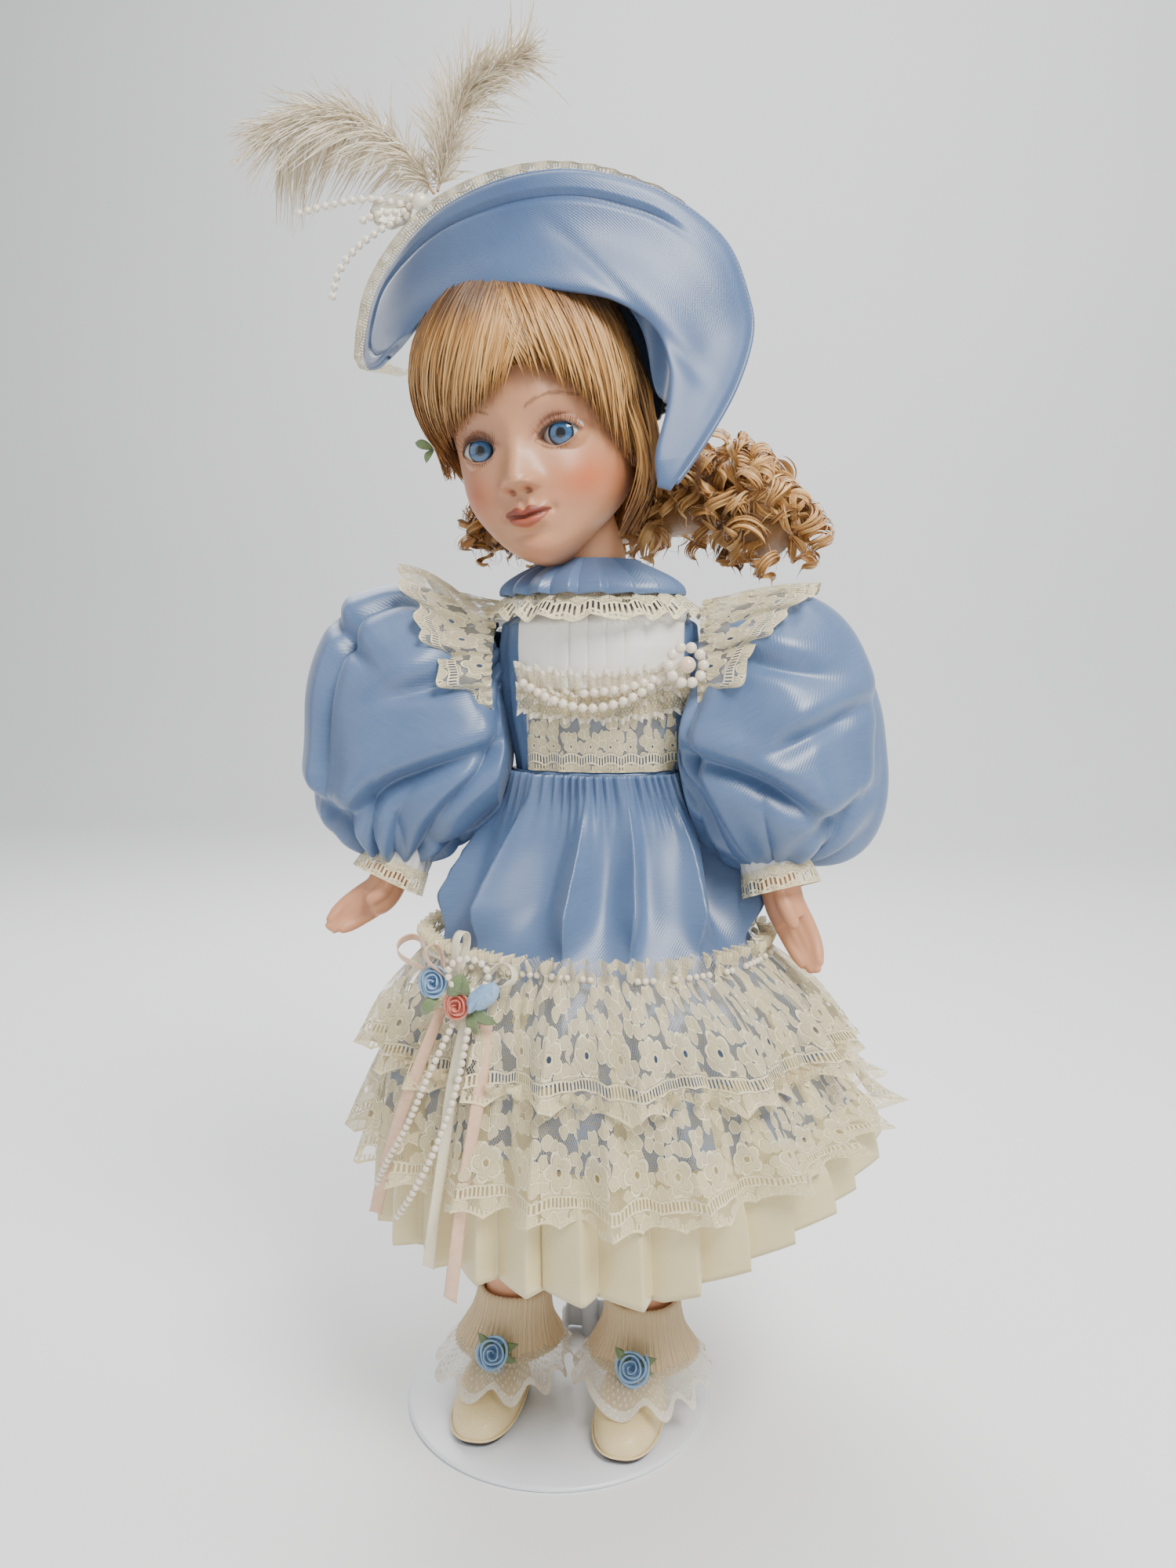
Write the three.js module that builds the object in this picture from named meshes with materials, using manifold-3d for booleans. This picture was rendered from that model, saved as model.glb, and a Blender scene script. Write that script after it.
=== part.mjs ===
// A dressed collector's doll on its metal stand: porcelain head, shoulder plate, forearms and lower
// legs on a stuffed cloth body, with a satin and lace dress, a feathered bonnet and ribbon trims.
// Millimetres, +Z up. The doll faces -Y; "left" and "right" are as seen from the front (left is -X).
// The origin is on the flat underside of the stand's base, below the doll's neck.
import * as THREE from 'three';
import { mergeVertices } from 'three/addons/utils/BufferGeometryUtils.js';
import Module from 'manifold-3d';

const wasm = await Module();
wasm.setup();

// ---------------------------------------------------------------- driving dimensions
const BASE = { radius: 60, thickness: 2, x: -10 };
const POST = { x: -4, y: 37, outer: 3.4, bore: 2.5, top: 150 };
const ROD = { radius: 2.1, bottom: 58, top: 225.6 };
const GRIP = { bottom: 226, top: 232, radius: 23.5, thickness: 2, hingeY: 24.5 };
const GAP = 0.4;                      // clearance between neighbouring pieces

const BODY_X = 6;                     // middle of the torso, which stands a little right of the neck
const TORSO_DEPTH = 0.72;             // torso depth over width
const SHOULDER = { x: 38, z: 296 };   // arm pivots, out from the middle of the torso
const NECK = { x: 3, radius: 13.5, seam: 319.4, peg: 8.6 };
const HEAD = { x: -14, y: -7, z: 379, halfWidth: 32.5, halfDepth: 38, halfHeight: 53, wall: 3 };
const HEAD_TURN = THREE.MathUtils.degToRad(-6);
const HEAD_NOD = THREE.MathUtils.degToRad(9.5);
const HEAD_TILT = THREE.MathUtils.degToRad(-9);
const EYE = { radius: 7, x: 14.5, y: -26.8, z: -10 };

const HIP = { z: 178, y: 1, radius: 12 };
const ANKLE = { y: 0, z: 20 };
const LEGS = { left: { hip: -12, ankle: -30.5 }, right: { hip: 21, ankle: 24 } };
const KNEE_Z = 112;
const SOLE = { bottom: 2.6, top: 4.6 };
const FOOT_SHIFT = -3;                // the toes point a little to the left of the ankles

// Skirt outline at each height: half width, middle in x and middle in y.
const SKIRT_DEPTH = 0.88;
const SKIRT_OUTLINE = [
  { z: 252, half: 34, x: 6, y: 1 }, { z: 240, half: 39, x: 6, y: 7 },
  { z: 225, half: 46, x: 6, y: 8 }, { z: 200, half: 54, x: 5, y: 2 },
  { z: 188, half: 58, x: 5, y: -3 }, { z: 170, half: 74, x: 8, y: -3 },
  { z: 140, half: 86, x: 12, y: 0 }, { z: 108, half: 94, x: 15, y: 0 },
  { z: 78, half: 96, x: 16, y: 0 },
];

// ---------------------------------------------------------------- materials
function finish(color, roughness, metalness = 0) {
  return new THREE.MeshStandardMaterial({ color, roughness, metalness });
}
const PAINT = finish(0xe9ebee, 0.35, 0.1);
const STEEL = finish(0xb9bcc0, 0.3, 0.9);
const BISQUE = finish(0xd6a58a, 0.55);
const MUSLIN = finish(0xe6dcc8, 0.9);
const CARD = finish(0xcbb08a, 0.9);
const GLASS = finish(0x6f92b8, 0.05);
const HAIR = finish(0xc8965a, 0.5);
const BLUE_SATIN = finish(0x7a9cc8, 0.4);
const WHITE_SATIN = finish(0xe4e2dc, 0.4);
const CREAM_SATIN = finish(0xe1d7b4, 0.45);
const LACE = finish(0xe1d7be, 0.85);
const KNIT = finish(0xe1c8a0, 0.9);
const SHOE_CREAM = finish(0xebd7aa, 0.5);
const SOLE_BROWN = finish(0x3a2a22, 0.7);
const PEARL = finish(0xeae0d0, 0.2);
const FEATHER = finish(0xd7c8af, 0.9);
const PEACH_RIBBON = finish(0xe0b795, 0.4);
const CREAM_RIBBON = finish(0xe6dcc0, 0.4);
const ROSE_RIBBON = finish(0xd98f86, 0.45);

const group = new THREE.Group();

function add(name, geometry, material) {
  const mesh = new THREE.Mesh(geometry, material);
  mesh.name = name;
  group.add(mesh);
  return mesh;
}

// ---------------------------------------------------------------- shape helpers
/** A body of revolution about +Z from [radius, height] points, counter-clockwise round the section. */
function turned(profile, segments) {
  const points = profile.map(([radius, height]) => new THREE.Vector2(radius, height));
  return new THREE.LatheGeometry(points, segments).rotateX(Math.PI / 2);
}

/** Moves every vertex of a geometry with a function that changes the point it is given. */
function warped(geometry, change) {
  const position = geometry.attributes.position;
  const point = new THREE.Vector3();
  for (let i = 0; i < position.count; i++) {
    point.fromBufferAttribute(position, i);
    change(point);
    position.setXYZ(i, point.x, point.y, point.z);
  }
  return geometry;
}

function ellipsoid(centre, halves, columns = 20, rows = 14) {
  return new THREE.SphereGeometry(1, columns, rows).rotateX(Math.PI / 2)
    .scale(...halves).translate(...centre);
}

function box(low, high) {
  const size = high.map((value, axis) => value - low[axis]);
  const middle = high.map((value, axis) => (value + low[axis]) / 2);
  return new THREE.BoxGeometry(...size).translate(...middle);
}

function curveThrough(points) {
  return new THREE.CatmullRomCurve3(points.map((point) => new THREE.Vector3(...point)));
}

/** A round-ended limb along a curve; radii are spread evenly from its start to its end. */
function limb(points, radii, sides = 12, flatten = 1) {
  const curve = curveThrough(points);
  const last = radii.length - 1;
  const profile = [[0, 0], ...radii.map((radius, i) => [radius, 0.02 + 0.96 * i / last]), [0, 1]];
  const side = new THREE.Vector3();
  const front = new THREE.Vector3();
  const across = new THREE.Vector3(0, 1, 0);
  return warped(turned(profile, sides), (point) => {
    const centre = curve.getPointAt(point.z);
    const along = curve.getTangentAt(point.z);
    side.crossVectors(across, along).normalize();
    front.crossVectors(along, side);
    const { x, y } = point;
    point.copy(centre).addScaledVector(side, x).addScaledVector(front, y * flatten);
  });
}

/** A round cord or ribbon along its hand-laid route. */
function strand(points, diameter, sides = 8) {
  const curve = curveThrough(points);
  const outline = new THREE.Shape();
  outline.absarc(0, 0, diameter / 2, 0, Math.PI * 2);
  const steps = Math.max(6, Math.round(curve.getLength() / (2.5 * diameter)));
  const section = new THREE.Shape(outline.getSpacedPoints(sides).slice(0, sides));
  return new THREE.ExtrudeGeometry(section, { steps, extrudePath: curve, curveSegments: 1 });
}

function solid(geometry) {
  const bare = geometry.clone();
  for (const name of Object.keys(bare.attributes)) {
    if (name !== 'position') bare.deleteAttribute(name);
  }
  const merged = mergeVertices(bare, 1e-4);
  return new wasm.Manifold(new wasm.Mesh({
    numProp: 3,
    vertProperties: Float32Array.from(merged.attributes.position.array),
    triVerts: Uint32Array.from(merged.index.array),
  }));
}

function geometryOf(manifold) {
  const mesh = manifold.getMesh();
  const geometry = new THREE.BufferGeometry();
  geometry.setAttribute('position', new THREE.BufferAttribute(mesh.vertProperties, 3));
  geometry.setIndex(new THREE.BufferAttribute(mesh.triVerts, 1));
  return geometry;
}

function cut(body, ...tools) {
  return geometryOf(tools.reduce((rest, tool) => rest.subtract(solid(tool)), solid(body)));
}

function joined(...bodies) {
  return geometryOf(bodies.slice(1).reduce((sum, body) => sum.add(solid(body)), solid(bodies[0])));
}

const SIDES = [['left', -1], ['right', 1]];

// ---------------------------------------------------------------- stand
function standBase() {
  const { radius, thickness, x } = BASE;
  const rim = [[0, 0], [radius - 0.8, 0], [radius, 0.7], [radius, 1.4], [radius - 0.8, thickness],
    [0, thickness]];
  return turned(rim, 40).translate(x, 0, 0);
}

/** Folded sheet bracket, a channel open to the front, that holds the foot of the post. */
function standFoot() {
  const { x, y, outer } = POST;
  const half = 11;
  const sheet = 1.2;
  const back = y + outer + GAP + sheet;
  const front = y - 8;
  const outline = new THREE.Shape([
    [x - half, front], [x - half + sheet, front], [x - half + sheet, back - sheet],
    [x + half - sheet, back - sheet], [x + half - sheet, front], [x + half, front],
    [x + half, back], [x - half, back],
  ].map(([px, py]) => new THREE.Vector2(px, py)));
  return new THREE.ExtrudeGeometry(outline, { depth: 13, bevelEnabled: false })
    .translate(0, 0, BASE.thickness + GAP);
}

function standPost() {
  const { x, y, outer, bore, top } = POST;
  const bottom = BASE.thickness + GAP;
  const wall = [[bore, bottom], [outer, bottom], [outer, top], [bore, top], [bore, bottom]];
  return turned(wall, 16).translate(x, y, 0);
}

function standRod() {
  const { radius, bottom, top } = ROD;
  return turned([[0, bottom], [radius, bottom], [radius, top], [0, top]], 12)
    .translate(POST.x, POST.y, 0);
}

function gripBracket() {
  const plate = new THREE.Shape();
  plate.moveTo(BODY_X - 5, GRIP.hingeY + 1.6);
  plate.lineTo(BODY_X + 5, GRIP.hingeY + 1.6);
  plate.lineTo(POST.x + 4, POST.y + 1);
  plate.absarc(POST.x, POST.y, 3.2, 0.3, Math.PI, false);
  plate.closePath();
  return new THREE.ExtrudeGeometry(plate, {
    depth: GRIP.top - GRIP.bottom, bevelEnabled: false, curveSegments: 5,
  }).translate(0, 0, GRIP.bottom);
}

/** One sprung arm of the waist grip: an arc from the hinge at the back round to the front. */
function gripArm(sign) {
  const { radius, thickness, bottom, top } = GRIP;
  const start = Math.PI / 2 - 0.14;
  const end = -0.5;
  const arm = new THREE.Shape();
  arm.absarc(0, 0, radius + thickness, end, start, false);
  arm.absarc(0, 0, radius, start, end, true);
  arm.closePath();
  const geometry = new THREE.ExtrudeGeometry(arm, {
    depth: top - bottom, bevelEnabled: false, curveSegments: 9,
  });
  if (sign < 0) geometry.rotateY(Math.PI).translate(0, 0, top - bottom);
  return geometry.translate(BODY_X, -1.4, bottom);
}

add('stand_base', standBase(), PAINT);
add('stand_foot', standFoot(), PAINT);
add('stand_post', standPost(), PAINT);
add('stand_rod', standRod(), STEEL);
add('grip_bracket', gripBracket(), STEEL);
for (const [side, sign] of SIDES) add(`grip_arm_${side}`, gripArm(sign), STEEL);

// ---------------------------------------------------------------- cloth body and shoulder plate
function torso() {
  const profile = [[0, 191], [16, 191], [19, 196], [19, 240], [22, 256], [26, 270], [27.5, 284],
    [23, 295], [0, 296]];
  return turned(profile, 16).scale(1, TORSO_DEPTH, 1).translate(BODY_X, 0, 0);
}

function shoulderPlate() {
  const bore = NECK.peg + GAP;
  const section = [[bore, 297], [25, 297], [27, 301], [22, 307], [16, 313], [15.5, 319],
    [bore, 319], [bore, 297]];
  return warped(turned(section, 20), (point) => {
    const outside = Math.hypot(point.x, point.y) > bore + 1;
    const drop = outside ? THREE.MathUtils.smoothstep(319 - point.z, 5, 22) : 0;
    point.x += NECK.x + (BODY_X - NECK.x) * drop;
    point.y *= 1 - 0.28 * drop;
  });
}

add('torso', torso(), MUSLIN);
add('shoulder_plate', shoulderPlate(), BISQUE);

// ---------------------------------------------------------------- head, in its own tilted axes
const headPose = new THREE.Matrix4().makeRotationZ(HEAD_TURN)
  .multiply(new THREE.Matrix4().makeRotationX(HEAD_NOD))
  .multiply(new THREE.Matrix4().makeRotationY(HEAD_TILT));
headPose.setPosition(HEAD.x, HEAD.y, HEAD.z);
const posed = (geometry) => geometry.applyMatrix4(headPose);

/** The head's outer form grown by a margin: fuller behind, narrowing to the chin in front. */
function headForm(margin, columns = 20, rows = 14) {
  const { halfWidth, halfDepth, halfHeight } = HEAD;
  const form = ellipsoid([0, 0, 0], [1, 1, 1], columns, rows);
  return warped(form, (point) => {
    const low = Math.max(0, -point.z);
    const narrow = 1 - 0.3 * low * low;
    point.set(point.x * (halfWidth + margin) * narrow, point.y * (halfDepth + margin) - 2 * low,
      point.z * (halfHeight + margin));
  });
}

function head() {
  const skull = joined(
    headForm(0),
    ellipsoid([0, -HEAD.halfDepth, -18], [3.6, 5, 6], 12, 10),
  );
  const neckPoints = [[NECK.x, 0, NECK.seam], [NECK.x, 0, 332], [NECK.x - 7, -2, 352]];
  const whole = joined(posed(skull), limb(neckPoints, [NECK.radius, NECK.radius, 14], 14),
    turned([[0, 300], [NECK.peg, 300], [NECK.peg, 330], [0, 330]], 16).translate(NECK.x, 0, 0));
  const seat = box([-60, -60, 290], [60, 60, NECK.seam]);
  const ring = cut(seat, turned([[0, 280], [NECK.peg + 0.05, 280], [NECK.peg + 0.05, 335], [0, 335]], 16)
    .translate(NECK.x, 0, 0));
  const cavity = posed(headForm(-HEAD.wall, 14, 9));
  const neckBore = limb([[NECK.x, 0, 290], [NECK.x, 0, 325], [NECK.x - 7, -2, 350]], [6, 6, 8], 12);
  const crown = posed(box([-60, -60, HEAD.halfHeight - 16], [60, 60, 90]));
  const sockets = [-1, 1].map((sign) => posed(
    ellipsoid([sign * EYE.x, EYE.y, EYE.z], Array(3).fill(EYE.radius + 0.4), 12, 8)));
  return cut(whole, ring, cavity, neckBore, crown, ...sockets);
}

/** Domed card pate that closes the open crown under the wig. */
function headPate() {
  const floor = HEAD.halfHeight - 16 + GAP;
  return cut(posed(headForm(-0.4, 16, 12)), posed(box([-60, -60, -90], [60, 60, floor])));
}

function eye(sign) {
  const ball = Array(3).fill(EYE.radius);
  return posed(ellipsoid([sign * EYE.x, EYE.y, EYE.z], ball, 12, 8));
}

/** Wig cap behind the hairline, from the nape up over the crown. */
function wig() {
  const outer = posed(headForm(4.6, 18, 12));
  const inner = posed(headForm(1, 18, 12));
  const face = posed(box([-60, -90, -90], [60, -9, 90]));
  const nape = box([-90, -90, 250], [90, 90, 374]);
  return cut(outer, inner, face, nape);
}

/** Side-swept fringe over the forehead, ending below the bonnet's opening. */
function bangs() {
  const outer = posed(headForm(3.6, 18, 12));
  const inner = posed(headForm(0.9, 18, 12));
  const behind = posed(box([-90, -12, -90], [90, 90, 90]));
  const above = box([-90, -90, 409], [90, 90, 500]);
  const below = box([-90, -90, 250], [90, 90, 386]);
  return cut(outer, inner, behind, above, below);
}

/** Ringlets gathered behind the head, falling behind both shoulders. */
function curls() {
  const route = [[-46, 20, 352], [-20, 44, 351], [18, 50, 351], [56, 40, 351], [80, 20, 350]];
  return limb(route, [9, 17, 19, 20, 17], 12, 0.8);
}

add('head', head(), BISQUE);
add('head_pate', headPate(), CARD);
for (const [side, sign] of SIDES) add(`eye_${side}`, eye(sign), GLASS);
add('wig', wig(), HAIR);
add('bangs', bangs(), HAIR);
add('curls', curls(), HAIR);

// ---------------------------------------------------------------- bonnet
const LIFT = new THREE.Vector3(0, 0.5, Math.sqrt(0.75));    // the way the bonnet comes off
const BRIM_THICKNESS = 7;
const BRIM_OUTER = [[-74, 400], [-83, 406], [-84, 416], [-77, 429], [-65, 438], [-45, 444], [-5, 450],
  [32, 446], [46, 440], [56, 424], [60, 407], [57, 386], [48, 364], [39, 350]];
const BRIM_INNER = [[-66, 401], [-53, 404], [-38, 409], [-18, 412], [2, 411], [17, 407], [29, 398],
  [33, 378], [34, 358]];

/** A curved plate over the brim's area: from its inner edge (v = 0) to its outer edge (v = 1). */
function brimPlate(fromV, toV, front, back) {
  const curves = [BRIM_OUTER, BRIM_INNER].map((edge) => new THREE.SplineCurve(
    edge.map(([x, z]) => new THREE.Vector2(x, z))));
  const plate = new THREE.BoxGeometry(1, 1, 1, 20, 1, 3).translate(0.5, 0.5, 0.5);
  return warped(plate, (point) => {
    const outer = curves[0].getPointAt(point.x);
    const inner = curves[1].getPointAt(point.x);
    const { x, y: z } = inner.lerp(outer, fromV + (toV - fromV) * point.z);
    // The brim wraps back round the head at its sides and leans back towards its top edge.
    const reach = x + 12;
    const wrap = reach > 0 ? 0.011 : 0.006;
    const lay = -40 + wrap * reach * reach + 0.25 * (z - 412);
    point.set(x, lay + front + (back - front) * point.y, z);
  });
}

/** Everything the head and wig would sweep out of the bonnet as it lifts away. */
function headSweep(margin) {
  const steps = [0, 8, 17, 27, 40];
  return joined(...steps.map((step) => posed(headForm(margin, 18, 12))
    .translate(0, -LIFT.y * step, -LIFT.z * step)));
}

function brim() {
  return cut(brimPlate(0, 1, -BRIM_THICKNESS, 0), headSweep(5.4));
}

/** Soft crown behind the brim, an open shell over the back of the head. */
function crown() {
  const dome = [HEAD.x + 1, 2, 396];
  const outer = ellipsoid(dome, [47, 48, 47], 20, 14);
  const inner = ellipsoid(dome, [44.6, 45.6, 44.6], 20, 14);
  const lowerEdge = box([-90, -90, 300], [90, 90, 381]);
  const faceOpening = box([-90, -90, 300], [90, -16, 418]);
  const beforeBrim = brimPlate(-0.5, 1.5, -80, GAP);
  return cut(outer, inner, headSweep(5.4), lowerEdge, faceOpening, beforeBrim);
}

add('hat_brim', brim(), BLUE_SATIN);
add('hat_crown', crown(), BLUE_SATIN);
add('hat_ornament', ellipsoid([-67, -12, 448], [8, 5, 6], 12, 8), CREAM_SATIN);
add('feather_left',
  limb([[-52, -12, 459], [-68, -12, 469], [-92, -10, 478], [-114, -8, 477]], [4, 10, 12, 6], 10, 0.3),
  FEATHER);
add('feather_right',
  limb([[-41, -9, 465], [-40, -9, 477], [-34, -8, 489], [-16, -6, 498]], [4, 9, 10, 6], 10, 0.3),
  FEATHER);
const PEARL_SPRAYS = [
  [[-58, -20, 449], [-78, -20, 453], [-100, -18, 450]],
  [[-58, -20, 445], [-74, -20, 438], [-88, -18, 427]],
];
PEARL_SPRAYS.forEach((route, i) => add(`pearl_spray_${i + 1}`, strand(route, 2.4, 8), PEARL));

// ---------------------------------------------------------------- arms
const ARMS = {
  left: {
    elbow: [-71, 2, 262], wrist: [-69, -7, 219], palm: [-76, -12, 203], tip: [-94, -20, 190],
    puff: { centre: [-73, 1, 268], halves: [38, 34, 55] },
  },
  right: {
    elbow: [77, 2, 254], wrist: [71, -7, 221], palm: [76, -11, 203], tip: [87, -16, 181],
    puff: { centre: [76, 1, 262], halves: [35, 34, 51] },
  },
};

function pivotOf(sign) {
  return [BODY_X + sign * SHOULDER.x, 0, SHOULDER.z];
}

function upperArmRoute(arm, sign) {
  const [x, y, z] = pivotOf(sign);
  const start = [x + sign * 2.5, y, z - 1];
  const halfway = arm.elbow.map((value, i) => (value + start[i]) / 2 + (i === 0 ? sign * 6 : 0));
  return [start, halfway, arm.elbow];
}

function upperArm(arm, sign) {
  return limb(upperArmRoute(arm, sign), [7.5, 8, 7.5], 12);
}

/** Porcelain forearm with a mitten-like hand and a separate thumb. */
function forearm(arm, sign) {
  const top = arm.elbow.map((value, i) => value + (arm.wrist[i] - value) * 0.2);
  top[2] -= 1;
  const bone = limb([top, arm.wrist, arm.palm], [7, 6, 6.5], 12);
  const hand = limb([arm.wrist, arm.palm, arm.tip], [5.5, 7, 8.5, 8, 3.5], 12, 0.6);
  const [px, py, pz] = arm.palm;
  const thumb = limb([[px, py - 2, pz + 4], [px + sign * -3, py - 6, pz - 3], [px + sign * -3, py - 8, pz - 9]],
    [2.6, 2.4, 1.8], 8);
  return joined(bone, hand, thumb);
}

/** Lace flounce standing round the top of the sleeve, a cone opening away from the bodice. */
function ruffleCone(sign, inward, outward) {
  const [x, y, z] = pivotOf(sign);
  const section = [[20 - inward, 0], [20 + outward, 0], [38 + outward, 17], [38 - inward, 17],
    [20 - inward, 0]];
  return turned(section, 24).rotateY(sign * Math.PI / 2).translate(x + sign * 1.2, y, z);
}

function sleeve(arm, sign) {
  const { centre, halves } = arm.puff;
  const [x, y, z] = pivotOf(sign);
  const around = turned([[20 - 1.6, -1], [80, -1], [80, 17.1], [38 - 1.6, 17.1], [20 - 1.6, -1]], 24)
    .rotateY(sign * Math.PI / 2).translate(x + sign * 1.2, y, z);
  const beforeArmhole = box(
    [sign < 0 ? x - 0.4 : x - 90, -90, 150], [sign < 0 ? x + 90 : x + 0.4, 90, 400]);
  const route = upperArmRoute(arm, sign);
  const armhole = ellipsoid(route[0], [14, 10, 10], 12, 8);
  const upperTunnel = limb(route, [9.4, 9.8, 9.8, 9.4], 10);
  const lowerTunnel = limb([route[1], arm.elbow, arm.wrist, arm.palm], [8, 9.8, 9.8, 9.4, 9.4], 10);
  const floor = box([-200, -90, 100], [200, 90, 223]);
  return cut(ellipsoid(centre, halves, 14, 10), around, beforeArmhole,
    armhole, upperTunnel, lowerTunnel, floor);
}

/** Satin cuff with its lace edge, square to the forearm just above the hand. */
function cuff(arm) {
  const wrist = new THREE.Vector3(...arm.wrist);
  const upArm = wrist.clone().sub(new THREE.Vector3(...arm.palm)).normalize();
  const turn = new THREE.Quaternion().setFromUnitVectors(new THREE.Vector3(0, 0, 1), upArm);
  const section = [[10.6, -11], [15, -13], [16, -12], [12.6, -3.4], [10.6, -3.4], [10.6, -11]];
  return turned(section, 14).applyQuaternion(turn).translate(wrist.x, wrist.y, wrist.z);
}

for (const [side, sign] of SIDES) {
  const arm = ARMS[side];
  add(`upper_arm_${side}`, upperArm(arm, sign), MUSLIN);
  add(`forearm_${side}`, forearm(arm, sign), BISQUE);
  add(`sleeve_${side}`, sleeve(arm, sign), BLUE_SATIN);
  add(`cuff_${side}`, cuff(arm), WHITE_SATIN);
  add(`shoulder_ruffle_${side}`, ruffleCone(sign, 0.5, 0.5), LACE);
}

// ---------------------------------------------------------------- legs
function legPoint(leg, z) {
  const t = (HIP.z - z) / (HIP.z - ANKLE.z);
  return [leg.hip + (leg.ankle - leg.hip) * t, HIP.y + (ANKLE.y - HIP.y) * t, z];
}

/** Moves a shape made round the Z axis onto the leg's slanting axis. */
function onLeg(geometry, leg) {
  return warped(geometry, (point) => {
    const [x, y] = legPoint(leg, point.z);
    point.x += x;
    point.y += y;
  });
}

function upperLeg(leg) {
  const { radius, z } = HIP;
  const dome = [80, 60, 40, 20].map((degrees) => {
    const angle = THREE.MathUtils.degToRad(degrees);
    return [radius * Math.cos(angle), z + radius * Math.sin(angle)];
  });
  const profile = [[0, KNEE_Z + 0.4], [11, KNEE_Z + 0.4], [12, KNEE_Z + 5], [radius, z],
    ...dome.reverse(), [0, z + radius]];
  return onLeg(turned(profile, 14), leg);
}

function lowerLegForm(leg, margin) {
  const profile = [[0, 12 - margin], [9 + margin, 12 - margin], [11 + margin, 22], [11.4 + margin, 40],
    [12.4 + margin, 62], [12.6 + margin, 85], [11 + margin, 106], [10 + margin, KNEE_Z + margin],
    [0, KNEE_Z + margin]];
  return onLeg(turned(profile, 16), leg);
}

function footForm(leg, margin) {
  const halves = [9.6 + margin, 23 + margin, 6.6 + margin];
  return ellipsoid([leg.ankle + FOOT_SHIFT, -15.5, 13], halves, 12, 8);
}

function shoe(leg) {
  const body = ellipsoid([leg.ankle + FOOT_SHIFT, -16.5, 13.5], [14, 28, 13.5], 16, 10);
  const ground = box([-90, -90, -20], [90, 90, SOLE.top + 0.3]);
  const mouth = box([-90, -90, 19.5], [90, 90, 40]);
  return cut(body, ground, mouth, footForm(leg, 0.4), lowerLegForm(leg, 0.4));
}

function sole(leg) {
  const outline = new THREE.Shape();
  outline.absellipse(leg.ankle + FOOT_SHIFT, -16.5, 11.6, 26.4, 0, Math.PI * 2, false, 0);
  return new THREE.ExtrudeGeometry(outline, {
    depth: SOLE.top - SOLE.bottom, bevelEnabled: false, curveSegments: 14,
  }).translate(0, 0, SOLE.bottom);
}

/** Ribbed sock turned over at the top, with its flared cuff and lace frill spreading over the shoe. */
function sock(leg) {
  const section = [[12.2, 21], [16, 22], [18, 24.5], [25.5, 20.4], [26, 21.4], [20, 31], [16, 39],
    [14.2, 43], [12.9, 43], [12.4, 32], [12.2, 21]];
  return onLeg(turned(section, 16), leg);
}

function pantaloon(leg) {
  const section = [[13.2, 84], [16.6, 84], [15.2, 92], [15.6, 120], [15, 162], [13.2, 162], [13.2, 84]];
  return onLeg(turned(section, 14), leg);
}

for (const [side] of SIDES) {
  const leg = LEGS[side];
  add(`upper_leg_${side}`, upperLeg(leg), MUSLIN);
  add(`lower_leg_${side}`, joined(lowerLegForm(leg, 0), footForm(leg, 0)), BISQUE);
  add(`pantaloon_${side}`, pantaloon(leg), LACE);
  add(`sock_${side}`, sock(leg), KNIT);
  add(`shoe_${side}`, shoe(leg), SHOE_CREAM);
  add(`sole_${side}`, sole(leg), SOLE_BROWN);
}

// ---------------------------------------------------------------- dress
function skirtAt(z) {
  const rows = SKIRT_OUTLINE;
  const below = rows.findIndex((row) => row.z <= z);
  const last = rows.length - 1;
  const b = below < 0 ? last : Math.max(1, below);
  const [upper, lower] = [rows[b - 1], rows[b]];
  const t = (upper.z - z) / (upper.z - lower.z);
  const mix = (key) => upper[key] + (lower[key] - upper[key]) * t;
  return { half: mix('half'), x: mix('x'), y: mix('y') };
}

/** The hems rise towards the right, where the skirt flares out. */
function hemRise(x, z) {
  return 0.4 * Math.max(0, x - 40) * THREE.MathUtils.smoothstep(150 - z, 0, 70);
}

/** A gathered shell that follows the skirt outline, `inset` inside it and `wall` thick. */
function skirtShell(heights, inset, wall, segments = 22) {
  const outer = heights.map((z) => [skirtAt(z).half - inset, z]);
  const inner = [...heights].reverse().map((z) => [skirtAt(z).half - inset - wall, z]);
  const section = [...outer, ...inner, outer[0]];
  return warped(turned(section, segments), (point) => {
    const { x, y } = skirtAt(point.z);
    point.x += x;
    point.y = point.y * SKIRT_DEPTH + y;
    point.z += hemRise(point.x, point.z);
  });
}

const OUTER_HEIGHTS = [112, 140, 170, 188, 200, 225, 240, 250];
const PETTICOAT_HEIGHTS = [78, 112, 140, 170, 188, 200, 225, 240, 246];
add('skirt', skirtShell(OUTER_HEIGHTS, 0, 1.2), BLUE_SATIN);
add('petticoat', skirtShell(PETTICOAT_HEIGHTS, 2.4, 1.2), CREAM_SATIN);
add('lace_upper', skirtShell([147, 170, 186], -3.8, 1), LACE);
add('lace_lower', skirtShell([104, 112, 140, 143], -2, 1), LACE);

function bodice() {
  const outer = [[29.5, 244], [31, 256], [34, 270], [35.6, 284], [33, 296], [31, 306]];
  const inner = [[29.5, 305], [29, 296], [29.2, 284], [28, 270], [25, 256], [23.5, 244]];
  return turned([...outer, ...inner, outer[0]], 20).scale(1, 0.76, 1).translate(BODY_X, 0, 0);
}

function collar() {
  const section = [[17.4, 312.5], [28, 308.5], [29, 309.4], [19, 320.2], [17.4, 320.2], [17.4, 312.5]];
  return turned(section, 20).scale(1, 0.97, 1).translate(NECK.x, 0, 0);
}

function brooch() {
  return turned([[0, -1.6], [6.5, -1.6], [8.4, 0], [6, 2], [0, 3]], 16)
    .rotateX(Math.PI / 2).translate(46.5 - 6, -26, 290);
}

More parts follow.
